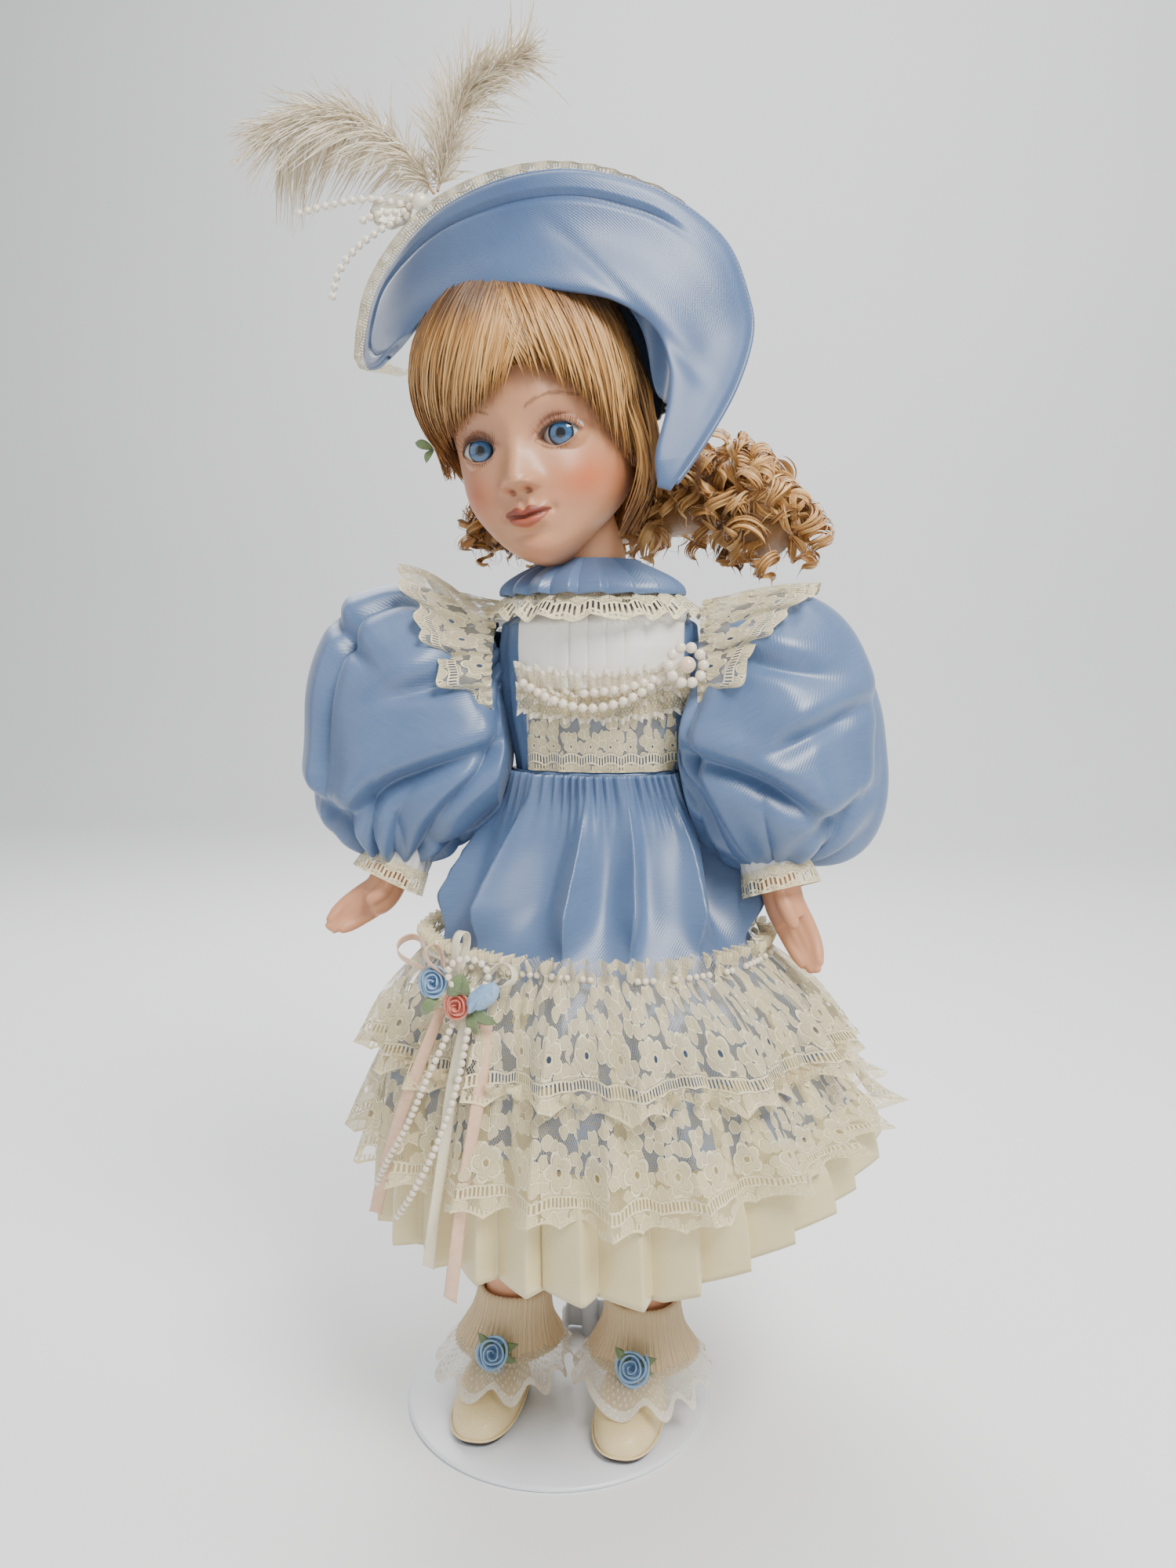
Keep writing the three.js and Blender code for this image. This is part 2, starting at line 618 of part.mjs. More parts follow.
const CHEST_PEARLS = [[-17, -25.5, 284], [-6, -28.6, 279.5], [8, -30.2, 277], [22, -29.2, 280],
  [34, -23, 286]];
const CORSAGE = { x: -27, y: -65, z: 184 };

function corsage() {
  return warped(ellipsoid([0, 0, 0], [18, 5, 9], 16, 10), (point) => {
    point.x += CORSAGE.x;
    point.y += CORSAGE.y + 0.004 * (point.x - CORSAGE.x) ** 2;
    point.z += CORSAGE.z;
  });
}

add('bodice', bodice(), BLUE_SATIN);
add('collar', collar(), BLUE_SATIN);
add('brooch', brooch(), PEARL);
add('chest_pearls', strand(CHEST_PEARLS, 2.4, 8), PEARL);
add('corsage', corsage(), ROSE_RIBBON);

// Ribbon tails and pearl strands that hang from the corsage down the front of the skirt.
const TAILS = {
  ribbon_peach_long: { width: 4.5, material: PEACH_RIBBON, route: [[-36, -66, 176], [-43, -68, 158],
    [-51, -67, 138], [-58, -63, 118], [-64, -58, 98]] },
  ribbon_cream_long: { width: 4, material: CREAM_RIBBON, route: [[-27, -69, 173], [-31, -72, 152],
    [-34, -74, 128], [-37, -76, 106], [-40, -73, 88]] },
  ribbon_peach_short: { width: 4.5, material: PEACH_RIBBON, route: [[-20, -69, 173], [-21, -76, 150],
    [-25, -79, 124], [-28, -80, 100], [-31, -78, 80]] },
  pearl_tail_long: { width: 2.4, material: PEARL, route: [[-31, -71, 172], [-38, -75, 156],
    [-46, -74, 138], [-54, -71, 124], [-60, -66, 113]] },
  pearl_tail_short: { width: 2.4, material: PEARL, route: [[-25, -74, 171], [-28, -79, 152],
    [-34, -82, 134], [-42, -81, 118], [-49, -77, 107]] },
};
for (const [name, { width, material, route }] of Object.entries(TAILS)) {
  add(name, strand(route, width, 8), material);
}

export default group;
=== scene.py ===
# A dressed collector's doll on its stand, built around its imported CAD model.
# Shapes are worked out in millimetres and turned into metres as each mesh is made. The doll faces -Y.
import math

import bpy
import numpy as np
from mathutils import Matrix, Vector


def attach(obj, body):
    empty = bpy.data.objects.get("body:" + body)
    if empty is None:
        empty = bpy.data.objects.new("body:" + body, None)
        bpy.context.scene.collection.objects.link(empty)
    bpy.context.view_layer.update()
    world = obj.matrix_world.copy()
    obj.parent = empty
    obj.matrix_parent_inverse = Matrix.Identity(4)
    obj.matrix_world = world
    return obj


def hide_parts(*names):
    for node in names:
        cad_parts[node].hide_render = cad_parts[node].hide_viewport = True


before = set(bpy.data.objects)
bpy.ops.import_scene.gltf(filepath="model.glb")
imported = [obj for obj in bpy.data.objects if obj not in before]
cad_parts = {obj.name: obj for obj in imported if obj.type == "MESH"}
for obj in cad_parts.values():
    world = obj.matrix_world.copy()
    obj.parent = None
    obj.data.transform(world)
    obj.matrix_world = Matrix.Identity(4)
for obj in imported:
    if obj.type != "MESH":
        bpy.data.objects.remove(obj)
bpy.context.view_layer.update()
MM = 0.001
TAU = 2 * math.pi
SIDES = (("left", -1), ("right", 1))

# ---------------------------------------------------------------- driving dimensions, as in the CAD model
BODY_X = 6
NECK_X = 3
SHOULDER_X, SHOULDER_Z = 38, 296
HEAD_CENTRE = np.array([-14.0, -7.0, 379.0])
HEAD_TURN, HEAD_NOD, HEAD_TILT = (math.radians(a) for a in (-6, 9.5, -9))
SKIRT_DEPTH = 0.88
# Skirt outline: height, half width, middle in x and middle in y.
SKIRT_OUTLINE = np.array([
    (252, 34, 6, 1), (240, 39, 6, 7), (225, 46, 6, 8), (200, 54, 5, 2), (188, 58, 5, -3),
    (170, 74, 8, -3), (140, 86, 12, 0), (108, 94, 15, 0), (78, 96, 16, 0), (60, 97, 16, 0),
], float)[::-1]
# Each leg's x at the hip and at the ankle.
LEGS = {"left": (-12, -30.5), "right": (21, 24)}
HIP_Z, ANKLE_Z = 178, 20
FOOT_SHIFT = -3
FOOT_Y = -16.5
SOLE_BOTTOM, SOLE_TOP = 2.6, 4.6
# Each arm's joints, the puff's middle and half sizes, how far the puff presses in beside the waist, and
# the puff's long folds: x, z, slope, depth and reach.
ARMS = {
    "left": {
        "elbow": (-71, 2, 262), "wrist": (-69, -7, 219), "palm": (-76, -12, 203), "tip": (-94, -20, 190),
        "puff": ((-73, 1, 271), (38, 34, 51)), "inward": 19, "thumb": 10, "seed": 130, "ruffle_seed": 151,
        "folds": ((-62, 248, 0.75, 7, 26), (-86, 300, -0.9, 4.5, 18), (-55, 282, 0.35, 4, 14),
                  (-96, 238, -0.4, 4, 16)),
    },
    "right": {
        "elbow": (77, 2, 254), "wrist": (71, -7, 221), "palm": (76, -11, 203), "tip": (87, -16, 181),
        "puff": ((76, 1, 266), (35, 34, 47)), "inward": 12, "thumb": 13, "seed": 140, "ruffle_seed": 152,
        "folds": ((66, 250, -0.6, 7, 24), (88, 268, 0.5, 5, 20), (70, 290, -0.25, 4.5, 16),
                  (94, 236, 0.7, 4.5, 15)),
    },
}


# ---------------------------------------------------------------- camera
def camera():
    """The photograph's view: a little above the skirt's height, from the doll's left."""
    data = bpy.data.cameras.new("camera")
    data.lens = 27.05
    data.sensor_width = 36
    data.sensor_fit = "AUTO"
    data.clip_start = 0.01
    eye = bpy.data.objects.new("camera", data)
    eye.location = (0.07845, -0.43485, 0.2937)
    eye.rotation_euler = (math.radians(90 - 6.35), 0, math.radians(10))
    bpy.context.scene.collection.objects.link(eye)
    bpy.context.scene.camera = eye


camera()


# ---------------------------------------------------------------- numbers, lines and grids
def ramp(x, low, high):
    """0 at low, 1 at high, and smooth between."""
    t = np.clip((x - low) / (high - low), 0, 1)
    return t * t * (3 - 2 * t)


def bell(x, width):
    return np.exp(-(x / width) ** 2)


def drift(seed, *coordinates, waves=6, pitch=1.0):
    """Smooth irregular variation, mostly within -1..1: a few sine waves in seeded directions."""
    random = np.random.default_rng(seed)
    total = 0
    for _ in range(waves):
        heading = random.normal(size=len(coordinates)) * pitch
        total = total + np.sin(sum(k * c for k, c in zip(heading, coordinates)) + random.uniform(0, TAU))
    return total / math.sqrt(waves)


def uneven(angle, seed, amount=0.35):
    """Angles shifted a little, so that folds aren't evenly spaced."""
    return angle + amount * drift(seed, np.cos(angle) * 2, np.sin(angle) * 2) / 6


def around(count):
    """Angles evenly round a circle."""
    return np.arange(count) * TAU / count


def unit(vectors):
    return vectors / np.maximum(np.linalg.norm(vectors, axis=-1, keepdims=True), 1e-9)


def point_grid(*coordinates):
    """Points from their coordinates, which are spread to one shape."""
    return np.stack(np.broadcast_arrays(*coordinates), -1)


def evenly(line, count):
    steps = np.concatenate([[0], np.cumsum(np.linalg.norm(np.diff(line, axis=0), axis=1))])
    at = np.linspace(0, steps[-1], count)
    return np.stack([np.interp(at, steps, line[:, k]) for k in range(line.shape[1])], 1)


def smooth_line(points, count):
    """Points evenly spaced along a Catmull-Rom curve through the given points."""
    given = np.asarray(points, float)
    padded = np.concatenate([[2 * given[0] - given[1]], given, [2 * given[-1] - given[-2]]])
    t = np.linspace(0, 1, 24, endpoint=False)[:, None]
    spans = []
    for a, b, c, d in zip(padded, padded[1:], padded[2:], padded[3:]):
        spans.append(0.5 * (2 * b + (c - a) * t + (2 * a - 5 * b + 4 * c - d) * t ** 2
                            + (3 * b - a - 3 * c + d) * t ** 3))
    return evenly(np.concatenate(spans + [given[-1:]]), count)


def length_of(line):
    return float(np.linalg.norm(np.diff(line, axis=0), axis=1).sum())


def frames_along(line):
    """Tangents and two cross directions that turn as little as they can along a line."""
    tangent = unit(np.gradient(line, axis=0))
    side = np.cross(tangent[0], (0.3, 0.2, 1.0))
    if np.linalg.norm(side) < 0.1:
        side = np.cross(tangent[0], (1.0, 0, 0))
    sides = []
    for along in tangent:
        side = side - along * side.dot(along)
        side = side / np.linalg.norm(side)
        sides.append(side)
    sides = np.array(sides)
    return tangent, sides, np.cross(tangent, sides)


def tube(line, radius, sides=10, rounded=True):
    """A grid round a line; radius is one number or one for each point, and both ends close."""
    _, a, b = frames_along(line)
    radius = np.broadcast_to(radius, len(line)).astype(float)
    angle = around(sides)[None, :, None]
    xyz = line[:, None] + (np.cos(angle) * a[:, None] + np.sin(angle) * b[:, None]) * radius[:, None, None]
    if not rounded:
        return xyz
    caps = [np.broadcast_to(line[i], (1, sides, 3)) for i in (0, -1)]
    return np.concatenate([caps[0], xyz, caps[1]])


def profile_tube(line, places, radii, sides):
    """A tube whose radius is read off a few places along the line, 0 to 1."""
    return tube(line, np.interp(np.linspace(0, 1, len(line)), places, radii), sides)


def band(line, side, width, bow=0.0, columns=3):
    """A ribbon along a line, spread to both sides of it; bow lifts its middle."""
    across = np.linspace(-0.5, 0.5, columns)
    side = np.broadcast_to(side, line.shape)
    width = np.broadcast_to(width, len(line))
    normal = unit(np.cross(np.gradient(line, axis=0), side))
    lift = bow * (1 - (2 * across) ** 2)
    return (line[:, None] + across[None, :, None] * (side * width[:, None])[:, None]
            + lift[None, :, None] * normal[:, None])


def sphere_angles(rows, columns):
    """Polar and turning angles of a sphere's grid, from pole to pole."""
    return np.meshgrid(np.linspace(0.001, math.pi - 0.001, rows), around(columns), indexing="ij")


def lathe(profile, columns=64, count=None):
    """A surface of revolution about Z from [radius, height] points."""
    profile = smooth_line(profile, count) if count else np.asarray(profile, float)
    angle = around(columns)
    r, z = profile[:, :1], profile[:, 1:2]
    return point_grid(r * np.sin(angle), -r * np.cos(angle), z)


def lengths_of(xyz, closed):
    """UVs in millimetres: the mean distance along the columns and down the rows."""
    if closed:
        xyz = np.concatenate([xyz, xyz[:, :1]], 1)
    across = np.linalg.norm(np.diff(xyz, axis=1), axis=2).mean(0)
    down = np.linalg.norm(np.diff(xyz, axis=0), axis=2).mean(1)
    u = np.concatenate([[0], np.cumsum(across)])
    v = np.concatenate([[0], np.cumsum(down)])
    return np.stack(np.meshgrid(u, v), -1)


def closed_uv(u, v, whole):
    """UVs of a closed grid, with the column where u comes round to its whole length."""
    u, v = np.broadcast_arrays(u, v)
    return np.stack([np.concatenate([u, u[:, :1] + whole], 1), np.concatenate([v, v[:, :1]], 1)], -1)


def posed(local):
    """Head-local millimetres to the row frame: tilt, then nod, then turn, then the head's place."""
    x, y, z = np.moveaxis(np.asarray(local, float), -1, 0)
    c, s = math.cos(HEAD_TILT), math.sin(HEAD_TILT)
    x, z = x * c + z * s, -x * s + z * c
    c, s = math.cos(HEAD_NOD), math.sin(HEAD_NOD)
    y, z = y * c - z * s, y * s + z * c
    c, s = math.cos(HEAD_TURN), math.sin(HEAD_TURN)
    x, y = x * c - y * s, x * s + y * c
    return np.stack([x, y, z], -1) + HEAD_CENTRE


# ---------------------------------------------------------------- mesh building
class Soup:
    """Gathers grids of points, with a UV in millimetres and a tone for each point, for one mesh."""

    def __init__(self):
        self.points, self.faces, self.uvs, self.tones, self.count = [], [], [], [], 0

    def grid(self, xyz, uv=None, closed=False, tone=0.5):
        """Adds quads over a rows x columns grid; closed joins the last column to the first."""
        rows, columns = xyz.shape[:2]
        if uv is None:
            uv = lengths_of(xyz, closed)
        r, c = np.meshgrid(np.arange(rows - 1), np.arange(columns - (not closed)), indexing="ij")
        corners = [(r, c), (r, c + 1), (r + 1, c + 1), (r + 1, c)]
        quads = np.stack([i * columns + j % columns + self.count for i, j in corners], -1)
        self.faces.append(quads.reshape(-1, 4))
        self.uvs.append(np.stack([uv[i, j] for i, j in corners], 2).reshape(-1, 2))
        self.points.append(xyz.reshape(-1, 3))
        self.tones.append(np.broadcast_to(tone, (rows, columns)).reshape(-1))
        self.count += rows * columns
        return self

    def ring(self, xyz, **settings):
        """A closed grid."""
        return self.grid(xyz, closed=True, **settings)

    def beads(self, centres, radius, rows=8, columns=10):
        """A small sphere at each centre; radius is one number or one for each."""
        polar, turn = sphere_angles(rows, columns)
        ball = np.stack([np.sin(polar) * np.cos(turn), np.sin(polar) * np.sin(turn), np.cos(polar)], -1)
        for centre, r in zip(centres, np.broadcast_to(radius, len(centres))):
            self.ring(np.asarray(centre) + ball * r)
        return self

    def strung(self, line, diameter):
        """Pearls touching each other on a thread along a line."""
        count = max(2, round(length_of(line) / (diameter * 1.04)))
        self.beads(evenly(line, count), diameter / 2, 9, 12)
        return self.ring(tube(line, diameter * 0.09, 5))

    def strand(self, line, outward, width, tone, columns=3):
        """One flat lock of hair along a line, tapering to both ends and lying flat to outward."""
        s = np.linspace(0, 1, len(line))
        side = unit(np.cross(np.gradient(line, axis=0), outward))
        spread = width * np.minimum(1, np.minimum(s * 9 + 0.25, (1 - s) * 4 + 0.06))
        return self.grid(band(line, side, spread, bow=width * 0.3, columns=columns), tone=tone)

    def object(self, name, material, body, slot, *replaced):
        """The mesh, riding on its body, hiding the CAD nodes that it stands for; slot is not used."""
        mesh = bpy.data.meshes.new(name)
        points = np.concatenate(self.points) * MM
        faces = np.concatenate(self.faces)
        mesh.vertices.add(len(points))
        mesh.vertices.foreach_set("co", points.astype(np.float32).ravel())
        mesh.loops.add(faces.size)
        mesh.loops.foreach_set("vertex_index", faces.astype(np.int32).ravel())
        mesh.polygons.add(len(faces))
        mesh.polygons.foreach_set("loop_start", np.arange(len(faces), dtype=np.int32) * 4)
        mesh.polygons.foreach_set("use_smooth", np.ones(len(faces), bool))
        uvs = np.concatenate(self.uvs).astype(np.float32)
        mesh.uv_layers.new(name="mm").data.foreach_set("uv", uvs.ravel())
        tone = mesh.attributes.new("tone", "FLOAT", "POINT")
        tone.data.foreach_set("value", np.concatenate(self.tones).astype(np.float32))
        mesh.update()
        mesh.validate()
        mesh.materials.append(material)
        piece = bpy.data.objects.new(name, mesh)
        bpy.context.scene.collection.objects.link(piece)
        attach(piece, body)
        if replaced:
            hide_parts(*replaced)
        return piece


def modified(piece, kind, **settings):
    """Adds a modifier to a piece and applies it."""
    modifier = piece.modifiers.new(kind.lower(), kind)
    for key, value in settings.items():
        setattr(modifier, key, value)
    bpy.context.view_layer.objects.active = piece
    bpy.ops.object.modifier_apply(modifier=modifier.name)
    return piece


def thickened(piece, millimetres, offset=0):
    return modified(piece, "SOLIDIFY", thickness=millimetres * MM, offset=offset)


def sheet(soup, name, material, body, slot, length, held, rests_on, *replaced, thick=0.0):
    """A cloth sheet, thickened when thick is given; length is not used."""
    piece = soup.object(name, material, body, slot, *replaced)
    if thick:
        thickened(piece, thick)


# ---------------------------------------------------------------- materials
def linear(red, green, blue):
    """A colour as seen on a screen, 0..255, in the renderer's linear values."""
    values = (red, green, blue)
    return tuple(((v / 255 + 0.055) / 1.055) ** 2.4 if v > 10 else v / 3295 for v in values) + (1,)


class Wire:
    """A node's output, with arithmetic that adds Math nodes."""

    def __init__(self, look, socket):
        self.look, self.socket = look, socket

    def math(self, operation, *others):
        node = self.look.node("ShaderNodeMath", operation=operation)
        for i, value in enumerate((self, *others)):
            self.look.feed(node.inputs[i], value)
        return Wire(self.look, node.outputs[0])

    def __add__(self, other):
        return self.math("ADD", other)

    def __sub__(self, other):
        return self.math("SUBTRACT", other)

    def __mul__(self, other):
        return self.math("MULTIPLY", other)

    def __truediv__(self, other):
        return self.math("DIVIDE", other)

    def sin(self):
        return self.math("SINE")

    def abs(self):
        return self.math("ABSOLUTE")

    def max(self, *others):
        result = self
        for other in others:
            result = result.math("MAXIMUM", other)
        return result

    def rise(self, low, high):
        """0 below low, 1 above high, and smooth between; it falls where low is the larger."""
        node = self.look.node("ShaderNodeMapRange", interpolation_type="SMOOTHSTEP")
        settings = (self, min(low, high), max(low, high), float(low >= high), float(low < high))
        for i, value in enumerate(settings):
            self.look.feed(node.inputs[i], value)
        return Wire(self.look, node.outputs[0])


class Look:
    """One procedural material on a Principled shader."""

    def __init__(self, name, roughness, **sockets):
        self.material = bpy.data.materials.new(name)
        self.material.use_nodes = True
        self.tree = self.material.node_tree
        self.shader = self.tree.nodes["Principled BSDF"]
        self.shader.inputs["Roughness"].default_value = roughness
        for key, value in sockets.items():
            self.shader.inputs[key.replace("_", " ")].default_value = value

    def node(self, kind, **settings):
        made = self.tree.nodes.new(kind)
        for key, value in settings.items():
            setattr(made, key, value)
        return made

    def feed(self, socket, value):
        if isinstance(value, Wire):
            self.tree.links.new(value.socket, socket)
        else:
            socket.default_value = value

    def uv(self):
        """The two UV coordinates, in millimetres."""
        parts = self.node("ShaderNodeSeparateXYZ")
        self.tree.links.new(self.node("ShaderNodeUVMap", uv_map="mm").outputs[0], parts.inputs[0])
        return Wire(self, parts.outputs[0]), Wire(self, parts.outputs[1])

    def place(self):
        """Object coordinates, the same as the row frame's, in metres."""
        return Wire(self, self.node("ShaderNodeTexCoord").outputs["Object"])

    def vector(self, x, y):
        made = self.node("ShaderNodeCombineXYZ")
        self.feed(made.inputs[0], x)
        self.feed(made.inputs[1], y)
        return Wire(self, made.outputs[0])

    def noise(self, scale, at=None, detail=2.0):
        made = self.node("ShaderNodeTexNoise")
        made.inputs["Scale"].default_value = scale
        made.inputs["Detail"].default_value = detail
        self.feed(made.inputs["Vector"], at or self.place())
        return Wire(self, made.outputs[0])

    def tone(self):
        return Wire(self, self.node("ShaderNodeAttribute", attribute_name="tone").outputs["Fac"])

    def blend(self, low, high, factor, **settings):
        """A colour between two; each is a colour or a wire."""
        made = self.node("ShaderNodeMix", data_type="RGBA", **settings)
        for i, value in ((0, factor), (6, low), (7, high)):
            self.feed(made.inputs[i], value)
        return Wire(self, made.outputs[2])

    def color(self, wire):
        self.feed(self.shader.inputs["Base Color"], wire)
        return self

    def rough(self, wire):
        self.feed(self.shader.inputs["Roughness"], wire)
        return self

    def alpha(self, wire):
        self.feed(self.shader.inputs["Alpha"], wire)
        return self

    def bump(self, height, distance_mm, strength=1.0):
        made = self.node("ShaderNodeBump")
        made.inputs["Strength"].default_value = strength
        made.inputs["Distance"].default_value = distance_mm * MM
        self.feed(made.inputs["Height"], height)
        self.tree.links.new(made.outputs[0], self.shader.inputs["Normal"])
        return self


def satin(name, dark, light, weave=5.2, roughness=0.38):
    """Dress satin: soft colour drift, a fine diagonal weave and a faint slub along the threads."""
    look = Look(name, roughness, Sheen_Weight=0.25, Sheen_Roughness=0.3, Specular_IOR_Level=0.7)
    u, v = look.uv()
    slub = look.noise(1.0, look.vector(u * 0.12, v * 2.2), 3.0)
    cloud = look.noise(38.0)
    look.color(look.blend(dark, light, cloud * 0.6 + slub * 0.45))
    twill = ((u + v * 0.8) * weave).sin() * 0.5 + ((u - v * 1.3) * (weave * 1.7)).sin() * 0.22
    look.bump(twill + slub * 1.6, 0.05, 0.55)
    return look.rough(cloud * 0.14 + roughness - 0.07).material


def ribbon(name, dark, light, width=5):
    """Narrow woven ribbon with a firmer edge; v runs along it and u across."""
    look = Look(name, 0.4, Sheen_Weight=0.3)
    u, v = look.uv()
    threads = (u * 14).sin() * 0.3 + (v * 9).sin() * 0.5
    edge = (u - width / 2).abs().rise(width / 2 - 0.5, width / 2 - 0.2)
    wear = look.noise(0.35, look.vector(u, v), 3.0)
    look.color(look.blend(dark, light, wear * 0.9 + threads * 0.06 - edge * 0.22))
    return look.bump(threads + edge * 1.5, 0.06, 0.7).material


def cells(look, u, v, size, feature, seed):
    """Irregular cells about size millimetres across, in the plane of the cloth."""
    made = look.node("ShaderNodeTexVoronoi", voronoi_dimensions="2D", feature=feature)
    made.inputs["Scale"].default_value = 1.0
    made.inputs["Randomness"].default_value = 0.8
    bent = look.noise(1.0, look.vector(u / size * 0.8, v / size * 0.8), 1.0) * 0.7
    look.feed(made.inputs["Vector"], look.vector(u / size + seed + bent, v / size + seed * 1.7 - bent))
    return made


def petals(u, v, radius, count, sharpness=0.34):
    """A flower round (0, 0): its lobed cover, the raised cord along its outline and the distance out."""
    far = (u * u + v * v).math("SQRT")
    lobe = (v.math("ARCTAN2", u) * (count / 2)).sin().abs() * sharpness + (1 - sharpness)
    share = far / (lobe * radius)
    return share.rise(1.03, 0.97), (share - 1.0).abs().rise(0.13, 0.07), far


def lace(name, cell, motif, edge_band, petal=5.2, net_pitch=1.7):
    """Floral raschel lace from its UV in millimetres; v is the height above the scalloped edge.

    Corded, ribbed petals crowd round one large flower in each cell, with open net between some of
    them, and a laddered band follows the scallops. Alpha leaves the open spaces clear."""
    look = Look(name, 0.8, Sheen_Weight=0.2)
    u, v = look.uv()
    inside = (u / cell).math("FRACT") - 0.5
    scallop = (inside * math.pi).math("COSINE")

    flower, flower_cord, far = petals(inside * cell, v - motif, cell * 0.33, 5)
    heart = (far - cell * 0.085).abs().rise(0.7, 0.4)
    hole = far.rise(cell * 0.05, cell * 0.065)
    leaves = cells(look, u, v, petal, "F1", 3.0)
    red = look.node("ShaderNodeSeparateColor")
    look.feed(red.inputs[0], Wire(look, leaves.outputs["Color"]))
    chosen = Wire(look, red.outputs[0]).rise(0.18, 0.22)
    borders = Wire(look, cells(look, u, v, petal, "DISTANCE_TO_EDGE", 3.0).outputs["Distance"]) * petal
    middle = Wire(look, leaves.outputs["Distance"])
    blob = middle.rise(0.56, 0.52) * chosen
    leaf = blob * borders.rise(0.12, 0.26)
    cord = ((middle - 0.53).abs().rise(0.07, 0.04) * chosen).max(borders.rise(0.3, 0.18) * blob)
    turns = math.pi / (net_pitch * 0.7)
    one_way, other_way = (((u + v * slant) * turns).sin().abs().rise(0.36, 0.2) for slant in (0.6, -0.6))
    net = one_way.max(other_way)

    zigzag = (u * (TAU / 1.7)).sin()
    ladder = (v - edge_band - scallop * 1.5).abs()
    rungs = ladder.rise(1.9, 1.7) * zigzag.rise(-0.45, 0.1)
    rails = (ladder - 1.8).abs().rise(0.42, 0.26)
    edge = v.rise(1.0, 0.8).max(v.rise(2.7, 2.4) * zigzag.rise(-0.1, 0.3))
    clear = ladder.rise(2.1, 2.5)
    ground = (leaf * 0.86).max(cord, net * 0.45) * (flower * -1 + 1)
    solid = (ground.max(flower * hole * 0.9, flower_cord, heart) * clear).max(rungs, rails, edge)
    ribs = (u * (TAU / 0.75)).sin() * 0.5 + 0.5
    filled = flower.max(leaf)
    look.alpha(solid * 0.95 + 0.04 - ribs * filled * clear * 0.24)
    shade = look.noise(0.3, look.vector(u, v)) * 0.5 + cord.max(flower_cord, rails) * 0.7
    look.color(look.blend(linear(226, 209, 162), linear(243, 230, 190), shade))
    raised = cord.max(flower_cord, rungs, heart) * 1.4 + ribs * filled * 0.4
    return look.bump(raised, 0.35, 0.9).material


def sheer(name, tint):
    """Fine sheer edging with a dense scalloped rim."""
    look = Look(name, 0.7, Sheen_Weight=0.3)
    u, v = look.uv()
    dots = ((u * (TAU / 2.6)).sin() * (v * (TAU / 2.6)).sin()).rise(0.35, 0.6)
    rim = v.rise(2.4, 1.9)
    threads = (u * (TAU / 0.8)).sin() * (v * (TAU / 0.8)).sin() * 0.16
    look.alpha(dots * 0.45 + rim * 0.4 + threads + 0.42)
    look.color(look.blend(tint, linear(246, 240, 226), rim * 0.6 + dots * 0.4))
    return look.bump(dots + rim, 0.2).material


def knit():
    """Fine stocking knit: columns of small V stitches."""
    look = Look("sock_knit", 0.88, Sheen_Weight=0.4)
    u, v = look.uv()
    rib = (u * (TAU / 1.1)).sin()
    stitch = ((v + rib * 0.3) * (TAU / 0.8)).sin()
    look.color(look.blend(linear(214, 182, 136), linear(240, 216, 172), rib * 0.25 + stitch * 0.15 + 0.5))
    return look.bump(rib * 0.7 + stitch * 0.4, 0.22, 0.9).material


def leatherette(name, dark, light, grain):
    look = Look(name, 0.48, Coat_Weight=0.12)
    pebbles = look.node("ShaderNodeTexVoronoi", feature="DISTANCE_TO_EDGE")
    pebbles.inputs["Scale"].default_value = grain
    look.feed(pebbles.inputs["Vector"], look.place())
    creases = Wire(look, pebbles.outputs[0]).rise(0.0, 0.22)
    look.color(look.blend(dark, light, look.noise(120.0) * 0.7 + creases * 0.3))
    return look.bump(creases, 0.06, 0.6).material


def plain_weave(name, dark, light, pitch):
    look = Look(name, 0.9)
    parts = look.node("ShaderNodeSeparateXYZ")
    look.feed(parts.inputs[0], look.place())
    x, _, z = (Wire(look, socket) for socket in parts.outputs)
    threads = (x * (TAU / pitch)).sin() * (z * (TAU / pitch)).sin()
    look.color(look.blend(dark, light, threads * 0.3 + look.noise(60.0)))
    return look.bump(threads, 0.15, 0.6).material


def painted_metal():
    """White stove enamel: a faint ripple, with dust and rubbing that dull it in patches."""
    look = Look("stand_paint", 0.3, Coat_Weight=0.35, Coat_Roughness=0.2)
    rub = look.noise(55.0, detail=5.0)
    look.color(look.blend(linear(219, 223, 230), linear(240, 242, 246), rub))
    look.rough(rub * 0.22 + 0.22)
    return look.bump(look.noise(420.0), 0.03, 0.25).material


def bare_steel():
    look = Look("stand_steel", 0.3, Metallic=0.9)
    grain = look.noise(900.0, detail=3.0)
    look.color(look.blend(linear(150, 153, 158), linear(196, 199, 203), grain))
    return look.rough(grain * 0.25 + 0.2).material


def bisque():
    """Unglazed painted bisque: soft mottling, a little light under the surface and pin-fine grain."""
    look = Look("bisque_limbs", 0.46, Subsurface_Weight=0.12, Subsurface_Scale=0.004, Coat_Weight=0.06,
                Coat_Roughness=0.35)
    mottle = look.noise(90.0, detail=3.0)
    look.color(look.blend(linear(194, 132, 96), linear(214, 156, 118), mottle * 1.1))
    return look.bump(look.noise(2600.0, detail=1.0), 0.02, 0.35).material


